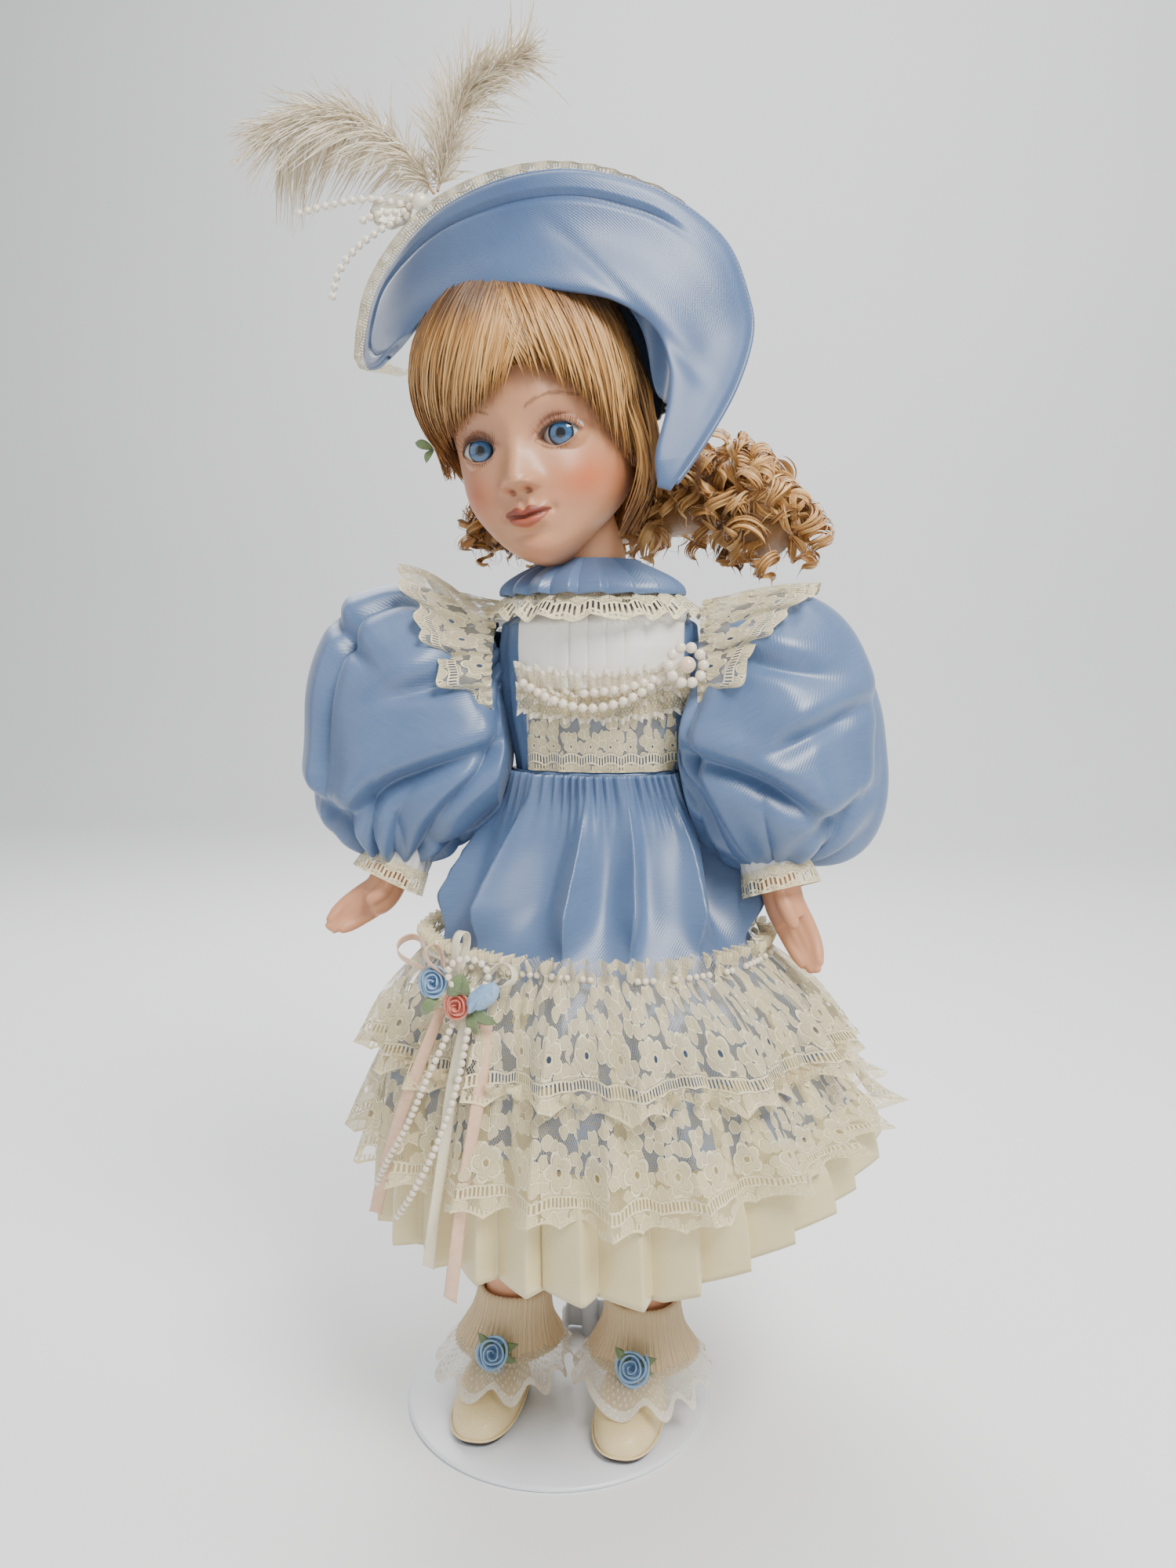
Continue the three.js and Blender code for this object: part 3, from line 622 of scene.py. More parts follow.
def painted_bisque():
    """The face: the colours painted on the mesh, with the same fine mottling and grain."""
    look = Look("bisque_face", 0.42, Subsurface_Weight=0.1, Subsurface_Scale=0.003, Coat_Weight=0.08,
                Coat_Roughness=0.4)
    painted = Wire(look, look.node("ShaderNodeAttribute", attribute_name="paint").outputs["Color"])
    mottle = look.blend(linear(214, 200, 194), linear(255, 255, 255), look.noise(110.0) * 1.3)
    look.color(look.blend(painted, mottle, 0.35, blend_type="MULTIPLY"))
    return look.bump(look.noise(2600.0, detail=1.0), 0.015, 0.3).material


def glass_eye():
    """Blown glass: dark pupil, streaked blue iris, navy rim and soft white; v is the arc from the middle."""
    look = Look("glass_eye", 0.08, Coat_Weight=1.0, Coat_Roughness=0.02)
    u, v = look.uv()
    streak = look.noise(1.0, look.vector(u * 9.0, v * 0.9), 3.0)
    iris = look.blend(linear(16, 42, 72), linear(54, 102, 146), streak * 1.3 + v.rise(1.2, 3.4) * 0.25 - 0.2)
    ringed = look.blend(iris, linear(10, 16, 30), v.rise(3.4, 4.2))
    pupil = look.blend(linear(6, 7, 10), ringed, v.rise(1.5, 1.9))
    return look.color(look.blend(pupil, linear(194, 188, 182), v.rise(4.45, 4.8))).material


def golden_hair():
    """Pale golden fibre with fine lengthwise streaks; a low tone darkens it as painted shade deep in the mass
    and at the roots, over truly darker roots.
    """
    look = Look("golden_hair", 0.42, Sheen_Weight=0.25, Sheen_Roughness=0.4)
    u, v = look.uv()
    streak = look.noise(1.0, look.vector(u * 3.0, v * 0.05))
    tone = look.tone()
    # deep is the colour of the hair deep in the mass, a painted shade.
    deep = look.blend(linear(74, 46, 22), linear(184, 130, 66), tone * 2.4 + streak * 0.4 - 0.2)
    look.color(look.blend(deep, linear(232, 190, 124), tone * 1.5 + streak * 0.7 - 0.95))
    return look.bump((u * 26).sin() * 0.5 + streak, 0.05, 0.6).material


def ostrich():
    look = Look("ostrich_plume", 0.7, Sheen_Weight=0.3)
    return look.color(look.blend(linear(206, 188, 156), linear(244, 236, 216),
                                 look.tone() * 1.3 - 0.15)).material


def clear_glass():
    look = Look("clear_bead", 0.08, Transmission_Weight=0.55, Coat_Weight=0.6, Subsurface_Weight=0.2,
                Subsurface_Scale=0.004)
    return look.color(look.blend(linear(214, 206, 182), linear(244, 240, 226),
                                 look.noise(260.0) * 1.4 - 0.2)).material


def mottled(name, roughness, dark, light, scale, **sockets):
    """Two colours that drift into each other."""
    look = Look(name, roughness, **sockets)
    return look.color(look.blend(dark, light, look.noise(scale))).material


BLUE_SATIN = satin("blue_satin", linear(62, 84, 120), linear(104, 130, 168))
# The bonnet's satin is the dress's blue satin painted darker as painted shade for the brim, with its own
# weave and roughness.
SHADED_BONNET_SATIN = satin("bonnet_satin_painted_shade", linear(54, 76, 112), linear(86, 112, 152), 5.6, 0.4)
CREAM_SATIN = satin("cream_satin", linear(206, 190, 140), linear(228, 214, 168), 4.4, 0.42)
WHITE_SATIN = satin("white_satin", linear(226, 223, 214), linear(243, 241, 236), 4.4, 0.42)
PEACH_RIBBON = ribbon("peach_ribbon", linear(213, 168, 134), linear(240, 205, 178), 4.5)
CREAM_RIBBON = ribbon("cream_ribbon", linear(224, 212, 178), linear(243, 236, 212), 4)
ROSE_BLUE = ribbon("rose_ribbon_blue", linear(112, 150, 190), linear(168, 200, 226))
ROSE_CORAL = ribbon("rose_ribbon_coral", linear(206, 104, 84), linear(236, 150, 126))
LEAF_GREEN = ribbon("leaf_ribbon_green", linear(84, 104, 66), linear(132, 150, 98))
LACE = lace("lace_wide", 19.0, 16.5, 6.2, petal=4.4, net_pitch=1.5)
LACE_NARROW = lace("lace_narrow", 8.0, 5.6, 2.6, petal=3.0, net_pitch=1.4)
LACE_BIB = lace("lace_bib", 12.0, 10.0, 4.0, petal=4.0, net_pitch=1.4)
SHOULDER_CELL = 21.0
LACE_SHOULDER = lace("lace_shoulder", SHOULDER_CELL, 18.0, 5.4)
SHEER = sheer("sheer_edging", linear(232, 220, 192))
BAND_LACE = sheer("band_lace", linear(236, 218, 170))
KNIT = knit()
SHOE = leatherette("shoe_leatherette", linear(222, 196, 140), linear(243, 224, 174), 900.0)
SOLE = leatherette("shoe_sole", linear(38, 24, 18), linear(72, 48, 36), 500.0)
PAINT = painted_metal()
STEEL = bare_steel()
MUSLIN = plain_weave("muslin", linear(208, 196, 172), linear(232, 222, 202), 0.0011)
CARD = plain_weave("pate_card", linear(176, 150, 112), linear(204, 180, 140), 0.003)
BISQUE = bisque()
FACE = painted_bisque()
GLASS = glass_eye()
HAIR = golden_hair()
BROW = mottled("brow_paint", 0.7, linear(140, 98, 68), linear(172, 126, 92), 300.0)
LASH = mottled("lash_hair", 0.7, linear(50, 34, 26), linear(86, 60, 44), 300.0)
PEARL = mottled("pearl", 0.22, linear(222, 206, 178), linear(244, 234, 214), 160.0, Coat_Weight=0.7,
                Coat_Roughness=0.12, Sheen_Weight=0.2)
PEACH_PEARL = mottled("peach_pearl", 0.2, linear(226, 190, 158), linear(244, 222, 198), 200.0,
                      Coat_Weight=0.7, Coat_Roughness=0.1)
CLEAR_BEAD = clear_glass()
PLUME = ostrich()
QUILL = mottled("feather_quill", 0.4, linear(150, 118, 84), linear(196, 168, 128), 120.0)


# ---------------------------------------------------------------- cords: ribbon tails and pearl strands
# Each tail's slot, diameter or width, and route in metres from the corsage down the front of the skirt.
TAILS = {
    "ribbon_peach_long": ("peach_ribbon", 0.0045, [
        (-0.036, -0.066, 0.176), (-0.043, -0.068, 0.158), (-0.051, -0.067, 0.138), (-0.058, -0.063, 0.118),
        (-0.064, -0.058, 0.098)]),
    "ribbon_cream_long": ("cream_ribbon", 0.004, [
        (-0.027, -0.069, 0.173), (-0.031, -0.072, 0.152), (-0.034, -0.074, 0.128), (-0.037, -0.076, 0.106),
        (-0.040, -0.073, 0.088)]),
    "ribbon_peach_short": ("peach_ribbon", 0.0045, [
        (-0.020, -0.069, 0.173), (-0.021, -0.076, 0.150), (-0.025, -0.079, 0.124), (-0.028, -0.080, 0.100),
        (-0.031, -0.078, 0.080)]),
    "pearl_tail_long": ("pearl", 0.0024, [
        (-0.031, -0.071, 0.172), (-0.038, -0.075, 0.156), (-0.046, -0.074, 0.138), (-0.054, -0.071, 0.124),
        (-0.060, -0.066, 0.113)]),
    "pearl_tail_short": ("pearl", 0.0024, [
        (-0.025, -0.074, 0.171), (-0.028, -0.079, 0.152), (-0.034, -0.082, 0.134), (-0.042, -0.081, 0.118),
        (-0.049, -0.077, 0.107)]),
}


def ribbon_tail(line, width):
    """A narrow ribbon that twists a little as it hangs and ends in a slanting cut."""
    t = np.linspace(0, 1, len(line))
    twist = 0.45 * np.sin(t * TAU * 0.8 + line[0, 0]) + 0.3
    strip = band(line, point_grid(np.cos(twist), np.sin(twist), 0), width, bow=0.3, columns=7)
    strip[-1, :, 2] += np.linspace(0.5, -0.5, 7) * width * 0.55
    return Soup().grid(strip)


def tails():
    for name, (slot, width, route) in TAILS.items():
        line, fine = (smooth_line(np.array(route) / MM, count) for count in (30, 120))
        if slot == "pearl":
            piece = Soup().strung(fine, width / MM).object(name + "_beads", PEARL, "body", slot, name)
        else:
            cloth = PEACH_RIBBON if slot == "peach_ribbon" else CREAM_RIBBON
            piece = ribbon_tail(fine, width / MM).object(name + "_cloth", cloth, "body", slot, name)
            thickened(piece, 0.3)


tails()


# ---------------------------------------------------------------- stand
def stand():
    base = lathe([(0.01, 0.02), (58.6, 0.02), (59.6, 0.35), (60, 1.0), (59.6, 1.65), (58.6, 2.0), (20, 2.0),
                  (0.01, 2.0)], 160) + (-10, 0, 0)
    Soup().ring(base).object("base_disc", PAINT, "stand", "paint_white", "stand_base")
    x, y = -4, 37
    post = lathe([(2.5, 149), (2.6, 150), (3.2, 150), (3.4, 149.6), (3.4, 2.4), (2.5, 2.4), (2.5, 149)], 40)
    Soup().ring(post + (x, y, 0)).object("post_tube", PAINT, "stand", "paint_white", "stand_post")
    rod = lathe([(0.01, 58), (1.8, 58), (2.1, 58.4), (2.1, 225.2), (1.8, 225.6), (0.01, 225.6)], 32)
    Soup().ring(rod + (x, y, 0)).object("rod_wire", STEEL, "rod", "steel", "stand_rod")
    foot_channel(x, y)


def foot_channel(x, y):
    """The folded sheet bracket at the post's foot, with rounded bends and two rivets in each cheek."""
    half, bend, foot, top = 10.4, 2.2, 2.5, 15.3
    back, front = y + 4.4, y - 8
    corner = np.radians(np.linspace(0, 90, 8))
    right = np.stack([x + half - bend + bend * np.cos(corner), back - bend + bend * np.sin(corner)], 1)
    left = np.stack([2 * x - right[::-1, 0], right[::-1, 1]], 1)
    outline = np.concatenate([[(x + half, front)], right, left, [(x - half, front)]])
    walls = point_grid(outline[:, 0], outline[:, 1], np.linspace(foot, top, 12)[:, None])
    # The front edges slope back towards the top.
    walls[..., 1] += ramp(walls[..., 2], 8, top) * ramp(walls[..., 1], y + 2, front) * 4
    piece = Soup().grid(walls).object("foot_channel", PAINT, "stand", "paint_white", "stand_foot")
    thickened(piece, 1.2)
    modified(piece, "BEVEL", width=0.3 * MM, segments=2, limit_method="ANGLE")
    rivets = Soup()
    for sign in (-1, 1):
        for height in (5.6, 11.4):
            dome = lathe([(0.01, 1.0), (0.8, 0.9), (1.3, 0.5), (1.5, 0.0)], 20)
            dome = point_grid(x + sign * (half + 0.55 + dome[..., 2]), y - 1 + dome[..., 1],
                              height + dome[..., 0])
            rivets.ring(dome if sign > 0 else dome[::-1])
    rivets.object("foot_rivets", STEEL, "stand", "steel")


stand()
for material, node_names in (
        (STEEL, ("grip_bracket", "grip_arm_left", "grip_arm_right")),
        (MUSLIN, ("torso", "upper_arm_left", "upper_arm_right", "upper_leg_left", "upper_leg_right")),
        (CARD, ("head_pate",))):
    for node_name in node_names:
        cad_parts[node_name].data.materials[0] = material


# ---------------------------------------------------------------- skirts
OUTLINE_Z = np.linspace(60, 252, 400)


def outline_column(column):
    """One column of the outline, rounded where its straight stretches meet."""
    values = np.interp(OUTLINE_Z, SKIRT_OUTLINE[:, 0], SKIRT_OUTLINE[:, column])
    window = np.hanning(41) / np.hanning(41).sum()
    return np.convolve(np.pad(values, 20, mode="edge"), window, mode="valid")


OUTLINE = [outline_column(column) for column in (1, 2, 3)]


def skirt_point(angle, z, outward):
    """A point of the skirt at an angle (0 in front, +90 degrees towards +X), moved outward."""
    half, x, y = (np.interp(z, OUTLINE_Z, column) for column in OUTLINE)
    px = x + (half + outward) * np.sin(angle)
    py = y - (half * SKIRT_DEPTH + outward) * np.cos(angle)
    rise = 0.4 * np.maximum(0, px - 40) * ramp(150 - z, 0, 70)
    return np.stack([px, py, z + rise], -1)


def satin_skirt():
    """Blue gathered skirt: many small gathers at the waist that merge into broad soft folds."""
    angle, down = np.meshgrid(around(960), np.linspace(0, 1, 90))
    waist, hem = 250.5, 127
    z = waist - down * (waist - hem)
    bent = uneven(angle, 11, 1.1)
    broad = 1 - 1.9 * np.abs(np.sin(bent * 7 + 0.7 + 0.35 * np.sin(down * 3))) ** 0.8
    second = np.cos(uneven(angle, 12, 1.2) * 13 + 1.5 * down)
    fine = np.cos(uneven(angle, 13, 0.6) * 58)
    swell = ramp(down, 0.0, 0.42)
    under_lace = ramp(z, 206, 188)
    outward = broad * (1.2 + 7.6 * swell) * (1 - 0.78 * under_lace)
    outward += second * (0.7 + 1.5 * swell) * (1 - 0.7 * under_lace)
    outward += fine * 0.9 * bell(down, 0.11) + 2.6 * swell * (1 - under_lace) - 1.4 * under_lace
    outward -= 4.0 * ramp(down, 0.045, 0.0) * ramp(-np.cos(angle), -0.3, 0.5)
    outward += 0.5 * drift(14, np.cos(angle) * 3, np.sin(angle) * 3, down * 5) * swell
    sheet(Soup().ring(skirt_point(angle, z, outward)), "skirt_satin", BLUE_SATIN, "body", "blue_satin", 132,
          "gathered", ["bodice_satin", "petticoat_satin"], "skirt", thick=0.3)


def pleated_petticoat():
    """Cream underskirt in pressed knife pleats, crisp at the hem and lost towards the waist."""
    angle, down = np.meshgrid(around(1056), np.linspace(0, 1, 70))
    waist, hem, pleats = 244, 86, 31
    z = waist - down * (waist - hem)
    number, phase = np.divmod(uneven(angle, 21, 0.35) * pleats / TAU, 1)
    pressed = np.where(phase < 0.82, phase / 0.82, (1 - phase) / 0.18) - 0.5
    opening = ramp(down, 0.45, 1.0)
    lean = np.random.default_rng(22).normal(size=64)[number.astype(int) % 64]
    outward = -3.4 - 9 * ramp(z, 176, 204) + pressed * (0.6 + 7.4 * opening) + lean * 0.9 * opening
    outward += 1.2 * drift(23, np.cos(angle) * 2.2, np.sin(angle) * 2.2, down * 2) * opening + 1.4 * opening
    z = z + lean * 0.5 * ramp(down, 0.9, 1.0)
    sheet(Soup().ring(skirt_point(angle, z, outward)), "petticoat_satin", CREAM_SATIN, "body", "cream_satin",
          175, "gathered", ["pantaloon_lace_left", "pantaloon_lace_right"], "petticoat", thick=0.35)


def lace_tier(name, top, bottom, outward, folds, seed, flare, replaced):
    """A gathered lace flounce with a scalloped lower edge and a small standing header."""
    cell, repeats, header = 19.0, 46, 7.5
    whole = top + header - bottom
    angle, down = np.meshgrid(around(repeats * 24), np.linspace(0, 1, 46))
    z = top + header - down * whole
    below = np.clip((top - z) / (top - bottom), 0, 1)
    above = ramp(z, top, top + header)
    lean = below * 0.5 * drift(seed + 1, np.cos(angle) * 2, np.sin(angle) * 2)
    swing = 1 - 2 * np.abs(np.sin(uneven(angle, seed, 1.3) * folds / 2 + lean))
    frill = np.cos(uneven(angle, seed + 2, 0.8) * folds * 4.3)
    tuck = np.cos(uneven(angle, seed + 3, 1.0) * folds * 2)
    out = outward + swing * (0.5 + flare * below ** 0.8) + tuck * 1.5 * below
    out += frill * (0.6 + 2.6 * above) * (1 - below)
    out += above * 3.2 + 3.2 * below * flare / 5 - 1.1 * bell(z - top, 1.8)
    u = angle / TAU * repeats * cell
    scallop = np.abs(np.cos(u / cell * math.pi)) ** 0.8
    z = z - below ** 6 * (2.6 * (1 - scallop) - 1.3)
    z = z + below ** 5 * 1.8 * drift(seed + 4, np.cos(angle) * 9, np.sin(angle) * 9)
    soup = Soup().ring(skirt_point(angle, z, out), uv=closed_uv(u, whole * (1 - down), repeats * cell))
    sheet(soup, name, LACE, "body", "lace", whole + 2, "gathered", ["skirt_satin"], replaced)


def header_pearls():
    """Pearls sewn here and there along the gathering line of the upper tier."""
    angle = np.linspace(0, TAU, 900)
    line = skirt_point(angle, 185.5 + 0.8 * drift(31, np.cos(angle) * 4, np.sin(angle) * 4), 5.0)
    sewn = np.random.default_rng(32).random(150) < 0.55
    Soup().beads(evenly(line, 150)[sewn], 1.15).object("header_pearls", PEARL, "body", "pearl")


satin_skirt()
pleated_petticoat()
lace_tier("lace_tier_lower", 147, 112, 3.8, 19, 41, 5.4, "lace_lower")
lace_tier("lace_tier_upper", 184.5, 148, 4.6, 17, 51, 6.2, "lace_upper")
header_pearls()


# ---------------------------------------------------------------- ribbon flowers
def axes_of(facing):
    """Two directions square to the way a flower faces."""
    normal = unit(np.asarray(facing, float))
    right = unit(np.cross((0, 0, 1), normal) + (1e-6, 0, 0))
    return right, np.cross(normal, right), normal


def ribbon_rose(soup, centre, facing, radius, turns, start):
    """A folded ribbon wound into a rose: each turn flares a little further out than the last."""
    right, up, normal = axes_of(facing)
    t = np.linspace(0, 1, int(26 * turns))[:, None]
    across = np.linspace(0, 1, 7)[None, :]
    turn = t * turns * TAU + start
    wobble = 1 + 0.07 * np.sin(turn * 2.6 + start)
    r = radius * (0.08 + 0.86 * t ** 0.85) * wobble + across ** 2 * radius * 0.26 * (0.25 + 0.75 * t)
    height = radius * (0.72 - 0.46 * t) * np.sin(across * 1.9) * (1 + 0.12 * np.sin(turn * 3 + 1))
    soup.grid(np.asarray(centre) + (r * np.cos(turn))[..., None] * right
              + (r * np.sin(turn))[..., None] * up + height[..., None] * normal)
    disc = lathe([(0.01, 0.0), (radius * 0.7, -0.1), (radius * 0.86, 0.25), (radius * 0.8, 0.7), (0.01, 0.9)],
                 30)
    soup.ring(np.asarray(centre) + disc @ np.array((right, up, normal)))


def ribbon_leaf(soup, base, heading, facing, length, width):
    """A folded ribbon leaf with a raised fold down its middle."""
    normal = axes_of(facing)[2]
    along = unit(np.asarray(heading, float))
    side = unit(np.cross(normal, along))
    t = np.linspace(0, 1, 16)[:, None]
    s = np.linspace(-1, 1, 7)[None, :]
    spread = width / 2 * np.sin(np.clip(t * 1.05, 0, 1) * math.pi) ** 0.7 * s
    lift = np.sin(t * math.pi) * (0.22 * length * (1 - 0.5 * s ** 2) + 0.25 * width * np.abs(s))
    soup.grid(np.asarray(base) + (t * length)[..., None] * along + spread[..., None] * side
              + lift[..., None] * normal)


def ribbon_loop(soup, base, heading, facing, length, width, open_to):
    """A loop of ribbon standing up from its base, seen on its edge."""
    normal = axes_of(facing)[2]
    along = unit(np.asarray(heading, float))
    side = unit(np.cross(normal, along))
    t = np.linspace(0, TAU, 44)
    reach = (1 - np.cos(t)) / 2 * length
    line = np.asarray(base) + np.outer(reach, along) + np.outer(np.sin(t) * reach * open_to, side)
    soup.grid(band(line, unit(normal + 0.25 * side), width, columns=5))


# ---------------------------------------------------------------- legs, socks and shoes
def leg_axis(side, z):
    hip, ankle = LEGS[side]
    t = (HIP_Z - z) / (HIP_Z - ANKLE_Z)
    return hip + (ankle - hip) * t, 1 - t


def on_leg(xyz, side):
    x, y = leg_axis(side, xyz[..., 2])
    return xyz + point_grid(x, y, 0)


def ankle_x(side):
    return LEGS[side][1] + FOOT_SHIFT


def leg(side):
    shin = lathe([(0.01, 12), (9, 12.2), (10.6, 20), (11.4, 40), (12.5, 62), (12.6, 85), (11, 106),
                  (10, 111.5), (0.01, 112)], 56, 60)
    polar, turn = sphere_angles(24, 36)
    foot = point_grid(ankle_x(side) + 9.0 * np.sin(polar) * np.cos(turn),
                      -13.5 + 19 * np.sin(polar) * np.sin(turn), 12.2 + 5.6 * np.cos(polar))
    Soup().ring(on_leg(shin, side)).ring(foot).object(
        "porcelain_leg_" + side, BISQUE, "leg_" + side, "bisque", "lower_leg_" + side)


def pantaloon(side):
    """White drawers drawn in below the knee and flaring to a ruffled hem."""
    top, drawn, hem = 162, 96, 84
    z = np.linspace(top, hem, 40)[:, None]
    angle = around(160)[None, :]
    flare = ramp(z, drawn, hem) * (1.4 + 1.1 * np.cos(angle * 14 + 0.4))
    r = 14.6 + 0.35 * np.cos(angle * 18) + flare - 0.9 * bell(z - drawn, 2)
    cloth = on_leg(point_grid(r * np.sin(angle), -r * np.cos(angle), z), side)
    sheet(Soup().ring(cloth), "pantaloon_lace_" + side, WHITE_SATIN, "leg_" + side, "lace", 80, "gathered",
          ["porcelain_leg_" + side], "pantaloon_" + side, thick=0.3)


def sock(side):
    """Ribbed ankle sock with its turned-over cuff, and its foot inside the shoe."""
    under = [(11.6, 14), (11.9, 30), (12.2, 41), (12.8, 43.6)]
    over = [(12.8, 43.6), (13.9, 44.4), (14.9, 43), (15.4, 38), (16.8, 32), (19.4, 26.5), (21.6, 22.6),
            (21.9, 21.4), (21.0, 21.6), (18.6, 25), (16.4, 29)]
    soup = Soup()
    for profile, count in ((under, 24), (over, 60)):
        shell = lathe(profile, 240, count)
        angle = np.arctan2(shell[..., 0], -shell[..., 1])
        ribs = 1 + 0.016 * np.cos(angle * 48)
        sag = 1 + 0.03 * drift(61, np.cos(angle) * 2, np.sin(angle) * 2, shell[..., 2] / 9)
        shell[..., :2] *= (ribs * sag)[..., None]
        soup.ring(on_leg(shell, side))
    polar, turn = sphere_angles(30, 60)
    soup.ring(point_grid(ankle_x(side) + 9.9 * np.sin(polar) * np.sin(turn),
                         -13 - 17.5 * np.sin(polar) * np.cos(turn), 13 + 7.8 * np.cos(polar)))
    soup.object("sock_knit_" + side, KNIT, "leg_" + side, "sock_knit", "sock_" + side)


def sock_frill(side):
    """Sheer lace frill sewn under the cuff, spreading over the shoe in deep waves."""
    angle = around(420)[None, :]
    t = np.linspace(0, 1, 26)[:, None]
    bent = uneven(angle, 71 if side == "left" else 72, 1.0)
    wave = np.sin(bent * 12) + 0.35 * np.sin(bent * 25 + 1)
    ahead = np.maximum(0, np.cos(angle)) ** 2 * t
    r = 17.4 + 9.4 * t ** 0.9 + 1.5 * t * wave + 8.5 * ahead
    z = 25.5 - 9.5 * t ** 1.15 + 2.9 * t * np.cos(bent * 12 + 0.9) + 1.0 * ahead
    frill = on_leg(point_grid(r * 0.98 * np.sin(angle), -r * np.cos(angle) - 1.0 * t, z), side)
    sheet(Soup().ring(frill, uv=closed_uv(angle * 34, (1 - t) * 12.5, 34 * TAU)), "sock_frill_" + side, SHEER,
          "leg_" + side, "lace", 13, "gathered", ["sock_knit_" + side])


def shoe(side):
    """Rounded leatherette shoe: vamp and quarters, a binding round its foot, on a dark sole."""
    ankle = ankle_x(side)
    angle = around(140)
    c, s = np.cos(angle), np.sin(angle)
    squareness = 2.5
    outline = (np.abs(c) ** squareness + np.abs(s) ** squareness) ** (-1 / squareness)
    across, ahead = outline * s, outline * c
    t = np.linspace(0, 1, 40)[:, None]
    pull = 1 + 0.05 * np.sin(t * math.pi) - (1 - np.cos(t * math.pi / 2)) * 0.98
    toe = ramp(c, 0.0, 1.0)
    x = ankle + 12.8 * across * pull * (1 - 0.04 * toe)
    y = FOOT_Y - 27.2 * ahead * pull
    z = SOLE_TOP + 0.2 + (15.2 - 3.6 * toe) * np.sin(t * math.pi / 2) + 0.25 * drift(81, x / 6, y / 6)
    seam = point_grid(ankle + 13.1 * across, FOOT_Y - 27.5 * ahead, SOLE_TOP + 0.5)
    binding = tube(np.concatenate([seam, seam[:2]]), 0.42, 8, rounded=False)
    Soup().ring(point_grid(x, y, z)).ring(binding).object(
        "shoe_upper_" + side, SHOE, "leg_" + side, "shoe_cream", "shoe_" + side)
    rows = [(0.02, SOLE_BOTTOM), (0.93, SOLE_BOTTOM), (0.965, SOLE_BOTTOM + 0.3), (0.975, SOLE_TOP - 0.3),
            (0.96, SOLE_TOP), (0.02, SOLE_TOP)]
    bottom = np.stack([point_grid(ankle + 12.6 * k * across, FOOT_Y - 27.2 * k * ahead, z) for k, z in rows])
    Soup().ring(bottom).object("shoe_sole_" + side, SOLE, "leg_" + side, "sole_brown", "sole_" + side)


def sock_rose(side):
    x, y = leg_axis(side, 28)
    centre = np.array([x - 1.0, y - 22.5, 27.0])
    facing = (-0.1, -0.93, 0.38)
    rose, leaves = Soup(), Soup()
    ribbon_rose(rose, centre, facing, 6.2, 3.8, 0.4 if side == "left" else 2.1)
    thickened(rose.object("sock_rose_" + side, ROSE_BLUE, "leg_" + side, "ribbon_flowers"), 0.22)
    for heading in ((1, 0.1, 0.35), (1, 0.1, -0.55), (-1, 0.1, 0.9)):
        ribbon_leaf(leaves, centre + (0, 1.2, 0), heading, facing, 9.5, 3.8)
    thickened(leaves.object("sock_rose_leaves_" + side, LEAF_GREEN, "leg_" + side, "ribbon_flowers"), 0.2)


for side_name, _ in SIDES:
    for build in (leg, pantaloon, sock, sock_frill, shoe, sock_rose):
        build(side_name)


# ---------------------------------------------------------------- bodice
# Height and radius.
BODICE_PROFILE = np.array([(244, 29.5), (250, 30.2), (256, 31), (270, 34), (284, 35.6), (296, 36.4),
                           (304, 35.6), (309, 27), (313, 21)], float)
BODICE_DEPTH = 0.76
WAIST_Z = 250.3


def bodice_radius(z):
    return np.interp(z, BODICE_PROFILE[:, 0], BODICE_PROFILE[:, 1])


def bodice_front(x, z, outward):
    """A point on the front of the bodice at x and z, moved outward."""
    r = bodice_radius(z)
    across = np.clip((x - BODY_X) / r, -0.98, 0.98)
    return point_grid(x + across * outward * 0.8, -BODICE_DEPTH * r * np.sqrt(1 - across ** 2) - outward, z)


def bodice():
    angle, down = np.meshgrid(around(480), np.linspace(0, 1, 90))
    z = 313 - down * (313 - 248.5)
    side = bell(np.abs(np.abs(np.sin(angle)) - 0.86), 0.42)
    folds = np.cos(angle * 15 + 0.9 * down) + 0.6 * np.cos(angle * 27 + 1.2)
    out = side * folds * (0.55 + 0.75 * ramp(down, 0.15, 0.9)) + 0.3 * drift(91, angle * 2, down * 5)
    out += 0.45 * np.cos(angle * 44) * bell(1 - down, 0.12)
    r = bodice_radius(z) + out
    cloth = point_grid(BODY_X + r * np.sin(angle), -BODICE_DEPTH * r * np.cos(angle), z)
    thickened(Soup().ring(cloth).object("bodice_satin", BLUE_SATIN, "body", "blue_satin", "bodice"), 0.4, -1)
    turn = np.linspace(0, TAU, 160)
    r = bodice_radius(WAIST_Z) + 1.5
    waist = point_grid(BODY_X + r * np.sin(turn), -BODICE_DEPTH * r * np.cos(turn) - 0.2, WAIST_Z)
    Soup().ring(tube(waist, 0.75, 10, rounded=False)).object("waist_piping", BLUE_SATIN, "body", "blue_satin")


def front_panel(x_range, z_range, columns, rows, outward):
    """A panel lying on the bodice's front; outward is a function of the panel's own u and v, 0..1."""
    u, v = np.meshgrid(np.linspace(0, 1, columns), np.linspace(0, 1, rows))
    x = x_range[0] + (x_range[1] - x_range[0]) * u
    z = z_range[1] - (z_range[1] - z_range[0]) * v
    return bodice_front(x, z, outward(u, v)), u, v


def yoke():
    """White satin yoke with five pressed pleats."""
    def pleats(u, v):
        phase = (u * 9 - 2) % 1
        middle = ramp(u, 0.2, 0.3) * ramp(u, 0.86, 0.76)
        return 1.2 + 1.5 * middle * (phase ** 0.6 - 0.4) + 0.15 * drift(101, u * 6, v * 4)
    cloth, _, _ = front_panel((-19, 38), (281, 309), 220, 40, pleats)
    sheet(Soup().grid(cloth), "yoke_satin", WHITE_SATIN, "body", "white_satin", 28, "laid", ["bodice_satin"],
          thick=0.3)


